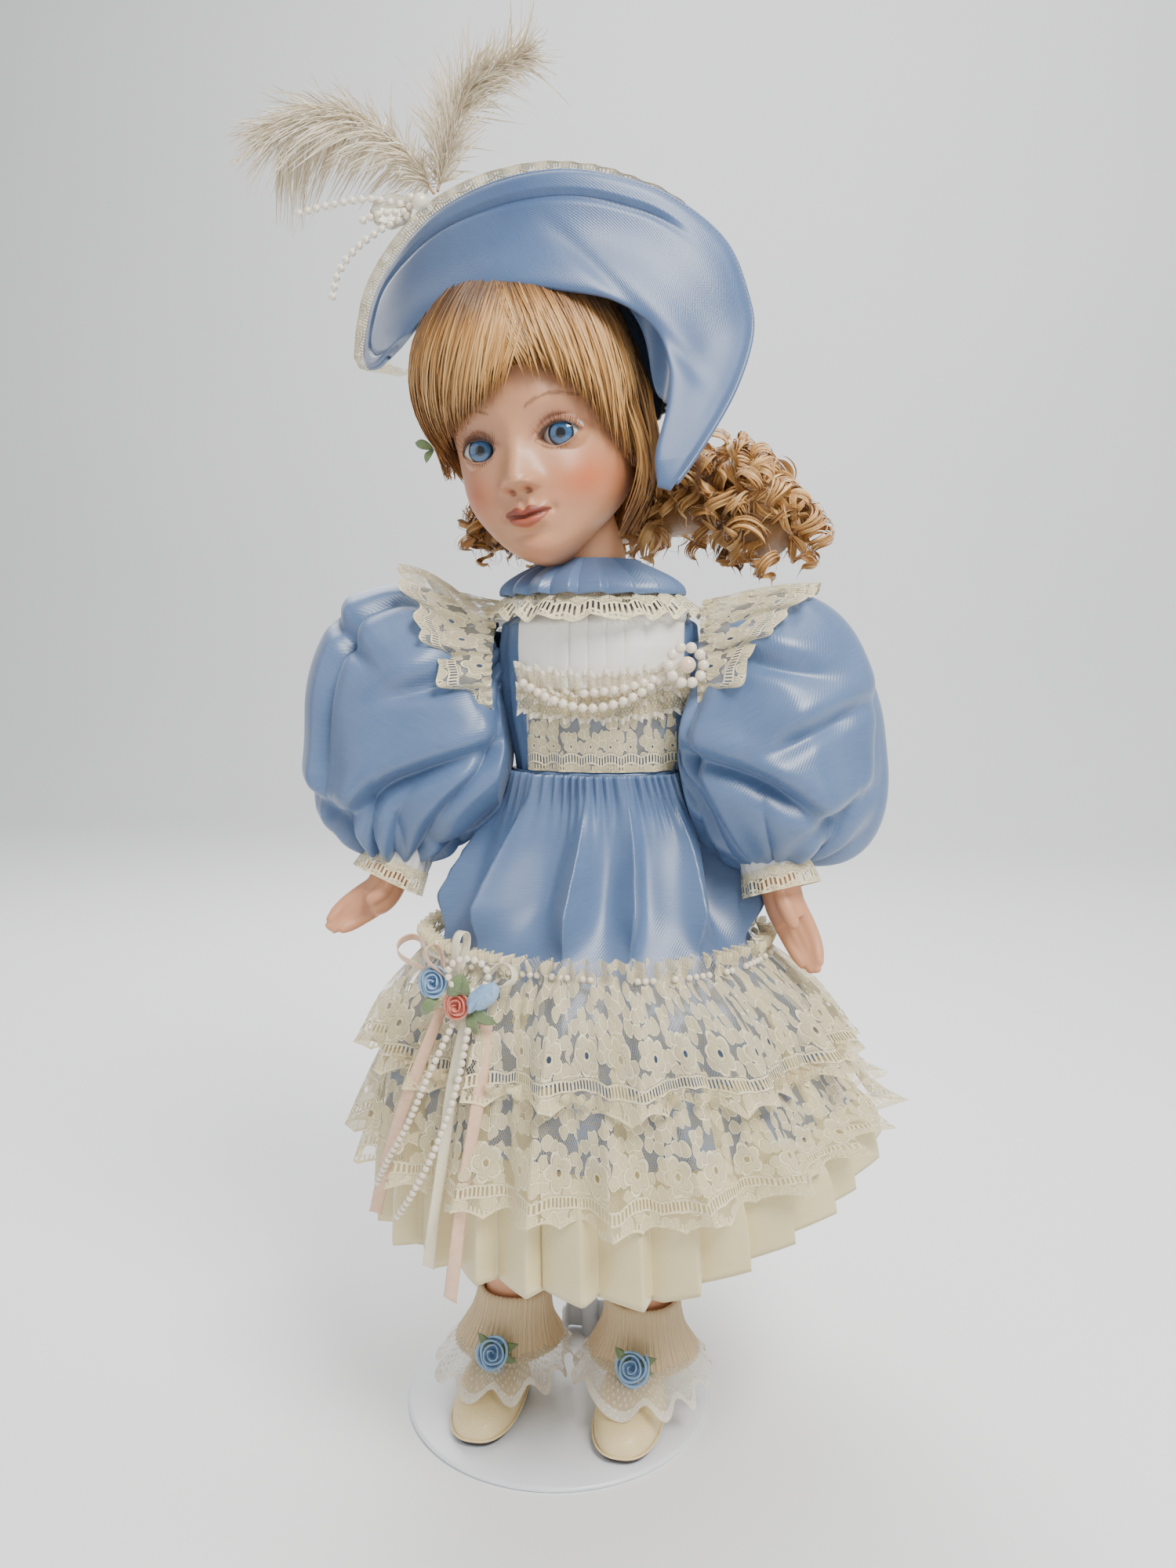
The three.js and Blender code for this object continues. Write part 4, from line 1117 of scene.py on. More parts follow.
def bib_lace():
    """Gathered lace hanging in soft tucks over the lower bodice."""
    def tucks(u, v):
        return 1.5 + 0.9 * np.abs(np.sin(u * 13 + 0.6 * v)) + 0.6 * np.sin(u * 31) * v
    cloth, u, v = front_panel((-16, 35), (251.5, 279), 260, 50, tucks)
    sheet(Soup().grid(cloth, uv=point_grid(u * 92, (1 - v) * 30)), "bib_lace", LACE_BIB, "body", "lace", 28,
          "gathered", ["bodice_satin"])


def gathered_bands():
    """Two rows of gathered cream lace under the yoke, with ruffled edges."""
    for row, (middle, half, lift) in enumerate(((284.0, 6.0, 2.0), (277.5, 5.2, 2.5))):
        u, v = np.meshgrid(np.linspace(0, 1, 420), np.linspace(-1, 1, 15))
        x = -19 + 58 * u
        sag = -3.2 * np.sin(u * math.pi) + 1.0 * u
        ruffle = np.sin(u * 150 + 3 * drift(111 + row, u * 9))
        z = middle + sag + v * half * (1 + 0.16 * np.sin(u * 60 + row)) + 0.5 * ruffle * v
        out = lift + np.abs(v) * (0.7 + ruffle) + 0.36 * (1 - v ** 2) + 0.5 * np.sin(u * 71 + v)
        soup = Soup().grid(bodice_front(x, z, out), uv=point_grid(u * 150, (1 - np.abs(v)) * 6 + 0.2))
        sheet(soup, f"gathered_band_{row + 1}", BAND_LACE, "body", "cream_satin", 12, "gathered",
              ["bodice_satin"])


def chest_pearls():
    """A pearl string swagged across the bodice, with a second short one above it."""
    swag = [(-17, -25.5, 283), (-6, -30.4, 277.5), (8, -32.4, 274.6), (22, -31.4, 278), (34, -25.5, 286)]
    upper = [(6, -31.8, 279.6), (20, -31.8, 281.6), (36, -26.0, 286.5)]
    soup = Soup().strung(smooth_line(swag, 90), 3.3).strung(smooth_line(upper, 60), 3.1)
    soup.object("chest_pearl_string", PEARL, "body", "pearl", "chest_pearls")


def brooch():
    """Ten pearls set round a larger peach one."""
    centre = np.array([41.0, -27.4, 289.5])
    right, up, normal = axes_of((0.42, -0.9, 0.1))
    turn = around(10)[:, None]
    ring = centre + np.cos(turn) * right * 6.3 + np.sin(turn) * up * 6.3
    Soup().beads(ring, 1.95, 12, 16).object("brooch_pearls", PEARL, "body", "pearl", "brooch")
    Soup().beads([centre + normal * 1.2], 2.9, 16, 24).object("brooch_centre", PEACH_PEARL, "body", "pearl")


def collar():
    """Pleated satin collar standing round the neck, with a lace edge lying over the yoke."""
    angle, t = np.meshgrid(around(620), np.linspace(0, 1, 30))
    phase = (angle / TAU * 19) % 1
    pleat = np.where(phase < 0.75, phase / 0.75, (1 - phase) / 0.25) - 0.5
    r = 16.6 + 16.0 * ramp(t, 0, 1) ** 0.9 + 2.2 * np.sin(t * math.pi) + pleat * (0.9 + 2.6 * t)
    z = 327.4 - 13.2 * t ** 1.2 + pleat * 0.8 * t
    cloth = point_grid(NECK_X + 0.6 * t + r * np.sin(angle), -r * 0.97 * np.cos(angle), z)
    sheet(Soup().ring(cloth), "collar_satin", BLUE_SATIN, "body", "blue_satin", 17, "gathered",
          ["bodice_satin"], "collar", thick=0.35)

    angle, t = np.meshgrid(around(700), np.linspace(0, 1, 16))
    wave = np.sin(uneven(angle, 121, 1.0) * 17)
    r = 29.0 + 10.5 * t + 0.4 * wave * t
    z = 316.3 - 10.6 * t ** 1.1 + wave * t + 2.2 * t * np.abs(np.sin(angle)) ** 3
    whole, cell = 208, 8
    u = angle / TAU * whole
    z -= t ** 5 * (np.abs(np.cos(u / cell * math.pi)) ** 0.8 - 0.5) * 1.2
    edge = point_grid(NECK_X + 1.2 + r * 1.02 * np.sin(angle), -r * 0.93 * np.cos(angle), z)
    sheet(Soup().ring(edge, uv=closed_uv(u, (1 - t) * 11.5, whole)), "collar_lace", LACE_NARROW, "body",
          "lace", 13, "gathered", ["collar_satin"])


for build in (bodice, yoke, bib_lace, gathered_bands, chest_pearls, brooch, collar):
    build()


# ---------------------------------------------------------------- corsage
def corsage():
    """Two blue roses and a coral one, ribbon leaves, loops of ribbon and a loop of pearls."""
    facing = (-0.25, -0.95, 0.12)
    blue, coral, green, cream, peach = Soup(), Soup(), Soup(), Soup(), Soup()
    ribbon_rose(blue, (-37, -69, 185.5), facing, 5.2, 3.6, 0.6)
    ribbon_rose(coral, (-28.5, -71.5, 178.5), facing, 4.6, 3.4, 1.7)
    bud = smooth_line([(-24.5, -72.5, 179.5), (-20, -73.5, 182.5), (-15.5, -72.5, 186)], 26)
    blue.ring(profile_tube(bud, [0, 0.25, 0.7, 1], [1.8, 3.4, 3.6, 1.6], 18))
    wrap = np.linspace(0, 1, 60)
    line = np.stack([np.interp(wrap, np.linspace(0, 1, 26), bud[:, k]) for k in range(3)], 1)
    turn = wrap * TAU * 1.5
    line += 3.7 * point_grid(0.4 * np.cos(turn), -np.abs(np.sin(turn)), np.cos(turn))
    blue.grid(band(line, (0.7, 0.0, 0.5), 3.2, columns=5))
    for base, heading, length in (
            ((-33, -71, 182), (0.9, 0, 0.5), 10), ((-36, -70, 181), (-0.7, 0, -0.8), 9),
            ((-25, -72, 181), (-0.2, 0, 1.0), 9), ((-24, -72, 178), (0.9, 0, -0.5), 10),
            ((-30, -72, 182), (0.3, 0, 0.9), 8), ((-24, -72, 177), (0.2, 0, -1.0), 8)):
        ribbon_leaf(green, base, heading, facing, length, 4.4)
    ribbon_loop(cream, (-30, -70, 186), (0.12, 0.1, 1.0), (0.9, -0.3, 0), 17, 3.6, 0.3)
    ribbon_loop(cream, (-23, -70, 184), (1.0, 0.1, 0.55), facing, 14, 3.6, 0.4)
    ribbon_loop(peach, (-39, -68, 188), (-0.75, 0.2, 0.75), (0.3, -0.5, 0.8), 15, 3.8, 0.5)
    ribbon_loop(peach, (-34, -70, 187), (-0.45, 0.1, 0.9), (0.6, -0.5, 0.3), 12, 3.6, 0.4)
    thickened(blue.object("corsage_roses_blue", ROSE_BLUE, "body", "ribbon_flowers", "corsage"), 0.22)
    thickened(coral.object("corsage_rose_coral", ROSE_CORAL, "body", "ribbon_flowers"), 0.22)
    thickened(green.object("corsage_leaves", LEAF_GREEN, "body", "ribbon_flowers"), 0.22)
    thickened(cream.object("corsage_loops_cream", CREAM_RIBBON, "body", "cream_ribbon"), 0.25)
    thickened(peach.object("corsage_loops_peach", PEACH_RIBBON, "body", "peach_ribbon"), 0.25)
    turn = np.linspace(0.2, TAU * 0.92, 60)
    loop = point_grid(-25 + 6.8 * np.sin(turn), -73.0, 189.5 - 5.4 * np.cos(turn))
    Soup().strung(loop, 2.4).object("corsage_pearl_loop", PEARL, "body", "pearl")


corsage()


# ---------------------------------------------------------------- sleeves, ruffles and hands
def places(side, *keys):
    return (np.array(ARMS[side][key], float) for key in keys)


def puff(side):
    """The middle and the half sizes of a sleeve's puff."""
    return (np.array(value, float) for value in ARMS[side]["puff"])


def hand(side, sign):
    """Porcelain forearm with a cupped mitten hand: fingers marked by shallow grooves, thumb apart."""
    elbow, wrist, palm, tip = places(side, "elbow", "wrist", "palm", "tip")
    start = elbow + (wrist - elbow) * 0.25
    along = unit(tip - palm)
    front = unit(np.array((0.0, -1.0, -0.25)) - along * along.dot((0.0, -1.0, -0.25)))
    spread = np.cross(along, front) * sign
    forearm = smooth_line([start, wrist, wrist + (palm - wrist) * 0.6], 30)
    back = smooth_line([wrist, palm, palm + along * 6], 24)
    soup = Soup().ring(tube(forearm, np.linspace(6.8, 5.9, 30), 24))
    soup.ring(tube(back, 5.6 + 1.7 * np.sin(np.linspace(0, 1, 24) * 2.6), 24))
    for finger, reach in enumerate((0.92, 1.0, 0.97, 0.86)):
        off = (finger - 1.5) * 3.1
        root = palm - along * 4 + spread * off * 0.5
        knuckle = palm + spread * off * 0.85
        middle = palm + (tip - palm) * 0.62 * reach + spread * off * 0.9 + front * -1.2
        end = palm + (tip - palm) * 1.04 * reach + spread * off * 0.6 + front * 1.8
        line = smooth_line([root, knuckle, middle, end], 26)
        soup.ring(profile_tube(line, [0, 0.5, 0.85, 1], [3.4, 2.9, 2.4, 1.5], 16))
    root = wrist + (palm - wrist) * 0.45 + front * 2.5
    ball = palm + front * 6.4 - along - spread * 1.5
    end = ball + along * ARMS[side]["thumb"] * 0.75 + front * 0.6
    soup.ring(profile_tube(smooth_line([root, ball, end], 24), [0, 0.6, 0.9, 1], [3.4, 3.0, 2.5, 1.4], 16))
    # The overlapping shapes melt into one skin.
    piece = soup.object("porcelain_hand_" + side, BISQUE, "arm_" + side, "bisque", "forearm_" + side)
    modified(piece, "REMESH", mode="VOXEL", voxel_size=0.55 * MM, use_smooth_shade=True)
    modified(piece, "SMOOTH", factor=0.6, iterations=5)


def along_cuff(side, section, columns, wave):
    """A band round the forearm from [radius, distance above the wrist] points."""
    wrist, palm = places(side, "wrist", "palm")
    axis = unit(wrist - palm)
    a = unit(np.cross(axis, (0.0, 1.0, 0.0)))
    b = np.cross(axis, a)
    angle = around(columns)
    up = section[:, 1:2]
    r = section[:, :1] + wave(angle, up)
    ring = (r * np.cos(angle))[..., None] * a + (r * np.sin(angle))[..., None] * b
    return wrist + ring + up[..., None] * axis


def cuff(side):
    section = smooth_line([(10.6, 10), (11.6, 6), (12.2, 0), (12.6, -7), (12.2, -7.6), (11.4, -6)], 40)
    cloth = along_cuff(side, section, 160, lambda a, up: 0.16 * np.cos(a * 21 + up * 0.4))
    Soup().ring(cloth).object("cuff_satin_" + side, WHITE_SATIN, "arm_" + side, "white_satin", "cuff_" + side)
    section = smooth_line([(12.9, -4.6), (13.6, -8), (14.4, -13.4)], 14)
    edge = along_cuff(side, section, 300, lambda a, up: 0.35 * np.cos(a * 16) * np.clip(-up - 5, 0, 9) / 9)
    uv = np.stack(np.meshgrid(np.arange(301) / 300 * 88, np.linspace(10, 0, 14)), -1)
    sheet(Soup().ring(edge, uv=uv), "cuff_lace_" + side, LACE_NARROW, "arm_" + side, "lace", 10, "gathered",
          ["cuff_satin_" + side])


def puff_directions(start, end, polar, turn):
    """Unit directions on a sphere whose two poles are moved to start and end."""
    lean = start + end
    beta = np.linalg.norm(lean) / 2
    lean = unit(lean)
    axis = unit(start - end)
    third = np.cross(axis, lean)
    n = (np.cos(polar)[..., None] * axis + (np.sin(polar) * np.cos(turn))[..., None] * lean
         + (np.sin(polar) * np.sin(turn))[..., None] * third)
    gamma = 1 / math.sqrt(1 - beta ** 2)
    forward = (n @ lean)[..., None]
    return (n + ((gamma - 1) * forward + gamma * beta) * lean) / (gamma * (1 + beta * forward))


def slanting_folds(folds, xyz, facing):
    """Long soft folds across a puff's front: a valley with a plump roll above it, for each line given."""
    total = 0
    for x, z, slope, deep, wide in folds:
        lean = unit(np.array((-slope, 1.0)))
        off = (xyz[..., 0] - x) * lean[0] + (xyz[..., 2] - z) * lean[1]
        along = (xyz[..., 0] - x) * lean[1] - (xyz[..., 2] - z) * lean[0]
        fade = bell(along, wide) * ramp(facing, -0.2, 0.3)
        total = total + (0.6 * deep * bell(off - 7.5, 6.5) - deep * bell(off, 3.6)) * fade
    return total


def puff_creases(seed, turn, t):
    """How far a puff's cloth stands out: gathers at both ends, with creases pulled between them."""
    near_arm, near_cuff, middle = bell(t, 0.24), bell(1 - t, 0.3), np.sin(t * math.pi)
    c, s = np.cos(turn), np.sin(turn)
    gathers = 0.5 - np.abs(np.sin(turn * 5 + 1.6 * drift(seed, c * 2, s * 2, t * 2))) ** 0.7
    small = np.cos(turn * 12 + 1.5 * drift(seed + 1, c * 2, s * 2))
    pulled = drift(seed + 3, c * 2.1, s * 2.1, t * 1.3)
    crossed = drift(seed + 5, c * 1.3 + t, s * 1.3 - t, t * 2.4)
    out = -3.4 * gathers * near_arm - 4.0 * gathers * near_cuff + small * (1.2 * near_cuff + 0.9 * near_arm)
    out += 3.2 * drift(seed + 2, c * 1.5, s * 1.5, t * 1.6)
    out -= 6.4 * np.maximum(0, 1 - np.abs(pulled) * 1.8) ** 1.5 * middle
    out -= 5.4 * np.maximum(0, 1 - np.abs(crossed - 0.2) * 2.2) ** 1.5 * middle
    return out + 2.2 + drift(seed + 4, c * 4, s * 4, t * 3) * middle


def sleeve(side, sign):
    """Puff sleeve gathered into the armhole and the cuff."""
    arm = ARMS[side]
    centre, halves = puff(side)
    wrist, = places(side, "wrist")
    pivot = np.array((BODY_X + sign * SHOULDER_X, 0.0, SHOULDER_Z))
    to_armhole = unit((pivot + (sign * -3, 0, -4) - centre) / halves)
    to_cuff = unit((wrist + (0, 0, -4) - centre) / halves)
    turn, t = np.meshgrid(around(320), np.linspace(0, 1, 150))
    n = puff_directions(to_armhole, to_cuff, 0.42 + (math.pi - 0.42 - 0.26) * t, turn)
    low = np.minimum(n[..., 2:], 0)
    fuller = 1 + 0.62 * low ** 2 * (1 - low ** 2)
    xyz = centre + n * halves * fuller + unit(n / halves) * puff_creases(arm["seed"], turn, t)[..., None]
    xyz += unit(n / halves) * slanting_folds(arm["folds"], xyz, -n[..., 1])[..., None]
    # Beside the waist it presses in against the body, and nowhere does it go far past the armhole.
    inner = ramp(-sign * n[..., 0], 0.1, 0.7) * ramp(-n[..., 1], -0.3, 0.3) * bell(xyz[..., 2] - 258, 24)
    xyz[..., 0] -= sign * arm["inward"] * inner
    reach = sign * (xyz[..., 0] - pivot[0])
    edge = 1.0 - 7 * inner
    xyz[..., 0] = pivot[0] + sign * np.where(reach < edge, edge + (reach - edge) * 0.12, reach)
    # Both openings turn in to the armhole and to the wrist.
    opening = xyz[-1] - xyz[-1].mean(0)
    first = pivot + (xyz[0] - xyz[0].mean(0)) * 0.72 + (sign * -2.0, 0, -2)
    last = wrist + (0, 0, 2) + opening * (11.4 / np.linalg.norm(opening, axis=1).mean())
    start = np.stack([first * (1 - k) + xyz[0] * k for k in (0, 0.35, 0.7)])
    end = np.stack([last * (1 - k) + xyz[-1] * k for k in (0.7, 0.35, 0)])
    piece = Soup().ring(np.concatenate([start, xyz, end])).object(
        "sleeve_satin_" + side, BLUE_SATIN, "arm_" + side, "blue_satin", "sleeve_" + side)
    modified(piece, "SMOOTH", factor=0.5, iterations=2)
    thickened(piece, 0.35, -1)


def shoulder_ruffle(side, sign):
    """Wide lace flounce sewn round the armhole, widest over the shoulder, lying out over the puff."""
    centre, halves = puff(side)
    turn, t = np.meshgrid(np.radians(np.linspace(-150, 150, 700)), np.linspace(0, 1, 40))
    width = 12 + 35 * np.cos(np.clip(turn * 0.62, -1.5, 1.5)) ** 1.7
    armhole = 20 + 10 * bell(np.abs(turn) - 2.5, 0.9)
    bent = turn + 0.06 * drift(ARMS[side]["ruffle_seed"], turn * 4)
    wave = np.sin(bent * 11) + 0.4 * np.sin(bent * 23 + 1)
    reach = width * t
    lift = np.sin(t * 1.5) * (2.0 + np.cos(turn)) + t * 3.4 * wave + 0.8 * np.cos(bent * 47) * bell(t, 0.14)
    lift -= 5 * t ** 2 * np.maximum(0, np.cos(turn))
    r = armhole + reach * 0.12 + lift
    x = BODY_X + 1.5 + sign * (SHOULDER_X - 1.0) + sign * (reach * 0.86 + 0.9 * t * wave)
    xyz = point_grid(x, -np.sin(turn) * r * 0.9, SHOULDER_Z - 4.0 + np.cos(turn) * r)
    # Whatever would be inside the puff is moved out to its surface.
    grown = halves + 3.0 + 1.4 * (1 + wave * t)[..., None]
    inside = np.linalg.norm((xyz - centre) / grown, axis=-1, keepdims=True)
    xyz = np.where(inside < 1, centre + (xyz - centre) / np.maximum(inside, 0.3), xyz)
    u = turn / (TAU * 300 / 360) * SHOULDER_CELL * 14
    scallop = np.abs(np.cos(u / SHOULDER_CELL * math.pi)) ** 0.8
    xyz[..., 0] += sign * t ** 8 * (scallop - 0.5) * 2.0
    sheet(Soup().grid(xyz, uv=point_grid(u, (1 - t) * np.maximum(width, 16))), "shoulder_ruffle_lace_" + side,
          LACE_SHOULDER, "arm_" + side, "lace", 32, "gathered", ["sleeve_satin_" + side],
          "shoulder_ruffle_" + side)


for side_name, side_sign in SIDES:
    hand(side_name, side_sign)
    cuff(side_name)
    sleeve(side_name, side_sign)
    shoulder_ruffle(side_name, side_sign)


# ---------------------------------------------------------------- head, in its own axes before posed()
# Heights from the head's middle, with the form's depth in front, its half width and its depth behind.
FRONT_DEPTH = np.array([
    (-57, 12), (-55.5, 24), (-53, 31), (-50, 34.8), (-46, 36.6), (-40, 36.6), (-33, 37.2), (-27, 37.2),
    (-20, 37), (-12, 36.6), (-7, 36.9), (0, 38), (8, 37.6), (18, 35.6), (28, 32.3), (37, 27.2)], float)
HALF_WIDTH = np.array([
    (-57, 7), (-55.5, 11), (-53, 15), (-49, 19.8), (-44, 24.2), (-38, 27.8), (-32, 30.2), (-24, 31.6),
    (-16, 31.8), (-8, 31.6), (0, 32.2), (8, 32.2), (18, 30.6), (28, 27.8), (37, 23.5)], float)
BACK_DEPTH = np.array([
    (-57, 8), (-50, 16), (-40, 24), (-30, 30), (-15, 36.5), (0, 38), (20, 35.5), (37, 27)], float)
# How far the nose stands out, by height.
NOSE = np.array([
    (-29.4, 0), (-27.2, 0.8), (-25.4, 5.0), (-23.2, 7.9), (-21, 8.0), (-17.6, 6.0), (-13, 3.2), (-8, 1.5),
    (-3, 0.7), (2, 0.1)], float)
EYE_AT = np.array([14.5, -24.6, -10.0])
EYEBALL, LID = 8.2, 9.0
EYE_HALF, UPPER_LID, LOWER_LID = 6.8, 4.0, 3.7
MOUTH_Z, MOUTH_HALF = -35.4, 8.4


def eased(table, z):
    """A table's value at z, rounded where its straight stretches meet."""
    total = 0
    for shift in (-2.4, -1.2, 0, 1.2, 2.4):
        total = total + np.interp(z + shift, table[:, 0], table[:, 1])
    return total / 5


def eye_opening(x, z):
    """How far inside the eye's almond opening a point is, in millimetres; negative on the lids."""
    dx = np.abs(x) - EYE_AT[0]
    dz = z - EYE_AT[2] - 0.06 * dx
    span = np.maximum(0, 1 - (dx / EYE_HALF) ** 2)
    inside = np.minimum(UPPER_LID * span ** 0.75 - dz, dz + LOWER_LID * span ** 0.85)
    past = np.abs(dx) - EYE_HALF
    return np.where(past > 0, -np.hypot(past, np.abs(dz)), inside)


def settled(z):
    """The lower face drawn up a little below the eyes."""
    return np.where(z < -10, -10 + (z + 10) * 0.935, z)


def above_mouth(x, z):
    """The height above the line where the lips meet."""
    return z - (MOUTH_Z + 0.010 * x ** 2 - 0.35 * bell(x, 1.6))


def mouth_share(x, share=1.0):
    """1 in the middle of the mouth, falling to 0 at its corners."""
    return np.clip(1 - (x / (MOUTH_HALF * share)) ** 2, 0, 1)


def features(x, z):
    """How far the painted face's features stand out from the plain form, in millimetres."""
    beside = np.abs(x)
    nose = np.interp(z, NOSE[:, 0], NOSE[:, 1]) * bell(x, 4.0 + 1.3 * ramp(-z, 12, 22))
    wings = 3.4 * bell(beside - 5.0, 2.4) * bell(z + 24.0, 2.3)
    nostrils = -2.0 * bell(beside - 2.9, 1.3) * bell(z + 26.3, 1.1)
    philtrum = (-0.6 * bell(x, 1.2) + 0.3 * bell(beside - 2.3, 1.0)) * bell(z + 30.6, 2.4)
    above = above_mouth(x, z)
    bow = 2.7 + 0.6 * bell(beside - 2.3, 1.7) - 0.45 * bell(x, 1.1)
    upper = 2.1 * mouth_share(x) ** 0.6 * bell(above - bow * 0.5, bow * 0.62) * (above > -0.4)
    lower = 2.9 * mouth_share(x, 0.86) ** 0.7 * bell(above + 2.1, 2.0)
    parting = -1.5 * bell(above, 0.55) * np.clip(1.1 - (x / MOUTH_HALF) ** 2, 0, 1)
    corners = -1.3 * bell(beside - MOUTH_HALF - 0.5, 1.8) * bell(above, 1.9)
    muzzle = 2.6 * bell(x, 10.5) * bell(z + 34, 8.5)
    dip = -1.5 * bell(x, 6) * bell(z + 42.4, 2.3)
    chin = 2.2 * bell(x, 8.0) * bell(z + 48, 5.2)
    cheeks = 2.2 * bell(beside - 18, 9) * bell(z + 26, 9)
    sockets = -2.2 * bell(beside - 13.5, 8.5) * bell(z + 8, 6.2)
    brow = 0.9 * bell(beside - 12, 8) * bell(z - 2.5, 4)
    return (nose + wings + nostrils + philtrum + upper + lower + parting + corners + muzzle + dip + chin
            + cheeks + sockets + brow)


def face_depth(x, y, z):
    """The y of the face's surface: the plain form, its features, the lids and the openings of the eyes."""
    front = y - features(x, z) * ramp(-y, 2, 16)
    dx, dz = np.abs(x) - EYE_AT[0], z - EYE_AT[2]
    ball = EYE_AT[1] - np.sqrt(np.maximum(LID ** 2 - dx ** 2 - dz ** 2, 0.01))
    near = ramp(np.hypot(dx, dz * 1.1), 9.4, 6.0) * (y < -8)
    lids = front + (np.minimum(ball, front) - front) * near
    inside = eye_opening(x, z)
    crease = 0.7 * bell(inside + 2.3, 0.75) * ramp(z, EYE_AT[2] - 1, EYE_AT[2] + 2) * near
    rim = -0.35 * bell(inside + 0.35, 0.5) * near
    return lids + crease + rim + 3.4 * ramp(inside, 0.0, 0.75) * (y < -8)


def face_paint(x, y, z):
    """The painted bisque: blush, lips, lid lines and nostrils over the skin colour, and painted shade inside
    the eye openings.
    """
    front = ramp(-y, 4, 14)
    beside, above, reach = np.abs(x), above_mouth(x, z), mouth_share(x)
    top = (2.8 + 0.7 * bell(beside - 2.5, 1.7) - 0.6 * bell(x, 1.1)) * reach ** 0.6
    bottom = 3.9 * mouth_share(x, 0.9) ** 0.6
    lips = front * (reach > 0.002)
    inside = eye_opening(x, z)
    upper = ramp(z, EYE_AT[2] - 1.5, EYE_AT[2] + 1.5)
    paint = np.array(linear(196, 142, 105)[:3])
    for colour, share in (
            (linear(198, 98, 54), 0.7 * bell(beside - 20.5, 9.5) * bell(z + 26.5, 8.5) * front),
            (linear(192, 118, 80), 0.5 * bell(x, 7) * bell(z + 48.5, 4.5) * front),
            (linear(190, 132, 102), 0.5 * bell(beside - 13, 9) * bell(z + 5.2, 4.0) * front),
            (linear(196, 128, 104), 0.5 * bell(beside - 4.4, 1.6) * bell(z + 25.6, 1.7)),
            (linear(104, 52, 38), 0.85 * bell(beside - 2.9, 1.2) * bell(z + 26.4, 0.95) * front),
            (linear(132, 64, 48), ramp(above, -0.3, 0.1) * ramp(above - top, 0.35, -0.25) * lips),
            (linear(166, 86, 62), ramp(above, 0.2, -0.2) * ramp(above + bottom, -0.35, 0.3) * lips),
            (linear(88, 42, 36), 0.9 * bell(above, 0.42) * reach ** 0.3 * front),
            (linear(150, 96, 74), 0.55 * bell(inside + 2.3, 1.1) * upper * front),
            (linear(48, 28, 22), (0.3 + 0.65 * upper) * bell(inside + 0.15, 0.55 + 0.35 * upper) * front),
            # Painted shade: the skin set back behind the eyeballs inside the openings is dark brown.
            (linear(90, 60, 50), ramp(inside, 0.2, 0.6) * front)):
        paint = paint + (np.array(colour[:3]) - paint) * np.clip(share, 0, 1)[..., None]
    return paint


def head():
    """Painted bisque head with its neck; finely divided over the face."""
    turn = np.radians(np.concatenate([np.linspace(-86, 86, 300), np.linspace(90, 270, 61)[:-1]]))
    level = np.concatenate([np.linspace(-57, 10, 230), np.linspace(11, 37, 30)])
    a, z = np.meshgrid(turn, level)
    ahead = np.cos(a) > 0
    depth = np.where(ahead, eased(FRONT_DEPTH, z), eased(BACK_DEPTH, z))
    x = eased(HALF_WIDTH, z) * np.sin(a)
    y = -depth * np.cos(a)
    z = z + ramp(-z, 14, 57) * 17 * (1 - np.cos(a)) * 0.5
    y = np.where(ahead, face_depth(x, y, z), y)
    skin = face_paint(x, y, z)
    local = np.stack([x, y, settled(z)], -1)
    chin = local[:1] * (0.05, 0.2, 1) + (0, -8, 1.5)
    route = [(NECK_X, 0, 319.6), (NECK_X, -0.2, 328), (NECK_X - 4, -1.5, 340), (NECK_X - 9, -3, 356)]
    neck = profile_tube(smooth_line(route, 40), [0, 0.25, 0.6, 1], [13.4, 12.6, 13.2, 16], 72)
    piece = Soup().ring(posed(np.concatenate([chin, local]))).ring(neck).object(
        "painted_head", FACE, "head", "bisque", "head")
    neck_skin = np.broadcast_to(linear(194, 142, 106)[:3], neck.shape)
    colours = np.concatenate([part.reshape(-1, 3) for part in (skin[:1], skin, neck_skin)])
    rgba = np.concatenate([colours, np.ones((len(colours), 1))], 1)
    paint = piece.data.attributes.new("paint", "FLOAT_COLOR", "POINT")
    paint.data.foreach_set("color", rgba.astype(np.float32).ravel())


def eyes():
    polar = np.linspace(0.001, 1.9, 70)[:, None]
    turn = around(72)
    bulge = EYEBALL + 0.35 * bell(polar, 0.42)
    for side, sign in SIDES:
        axes = axes_of(unit(np.array((0.10 + 0.02 * sign, -1.0, 0.05))))
        ball = point_grid(bulge * np.sin(polar) * np.cos(turn), bulge * np.sin(polar) * np.sin(turn),
                          bulge * np.cos(polar)) @ np.array(axes)
        uv = closed_uv(turn[None, :], polar * EYEBALL, TAU)
        Soup().ring(posed(EYE_AT * (sign, 1, 1) + ball), uv=uv).object(
            "glass_eye_" + side, GLASS, "head", "glass_eye", "eye_" + side)


def on_face(x, z, lift):
    """A point just off the face's surface."""
    front = -eased(FRONT_DEPTH, z) * np.sqrt(np.maximum(0, 1 - (x / eased(HALF_WIDTH, z)) ** 2))
    return np.stack([x, face_depth(x, front, z) - lift, settled(z)], -1)


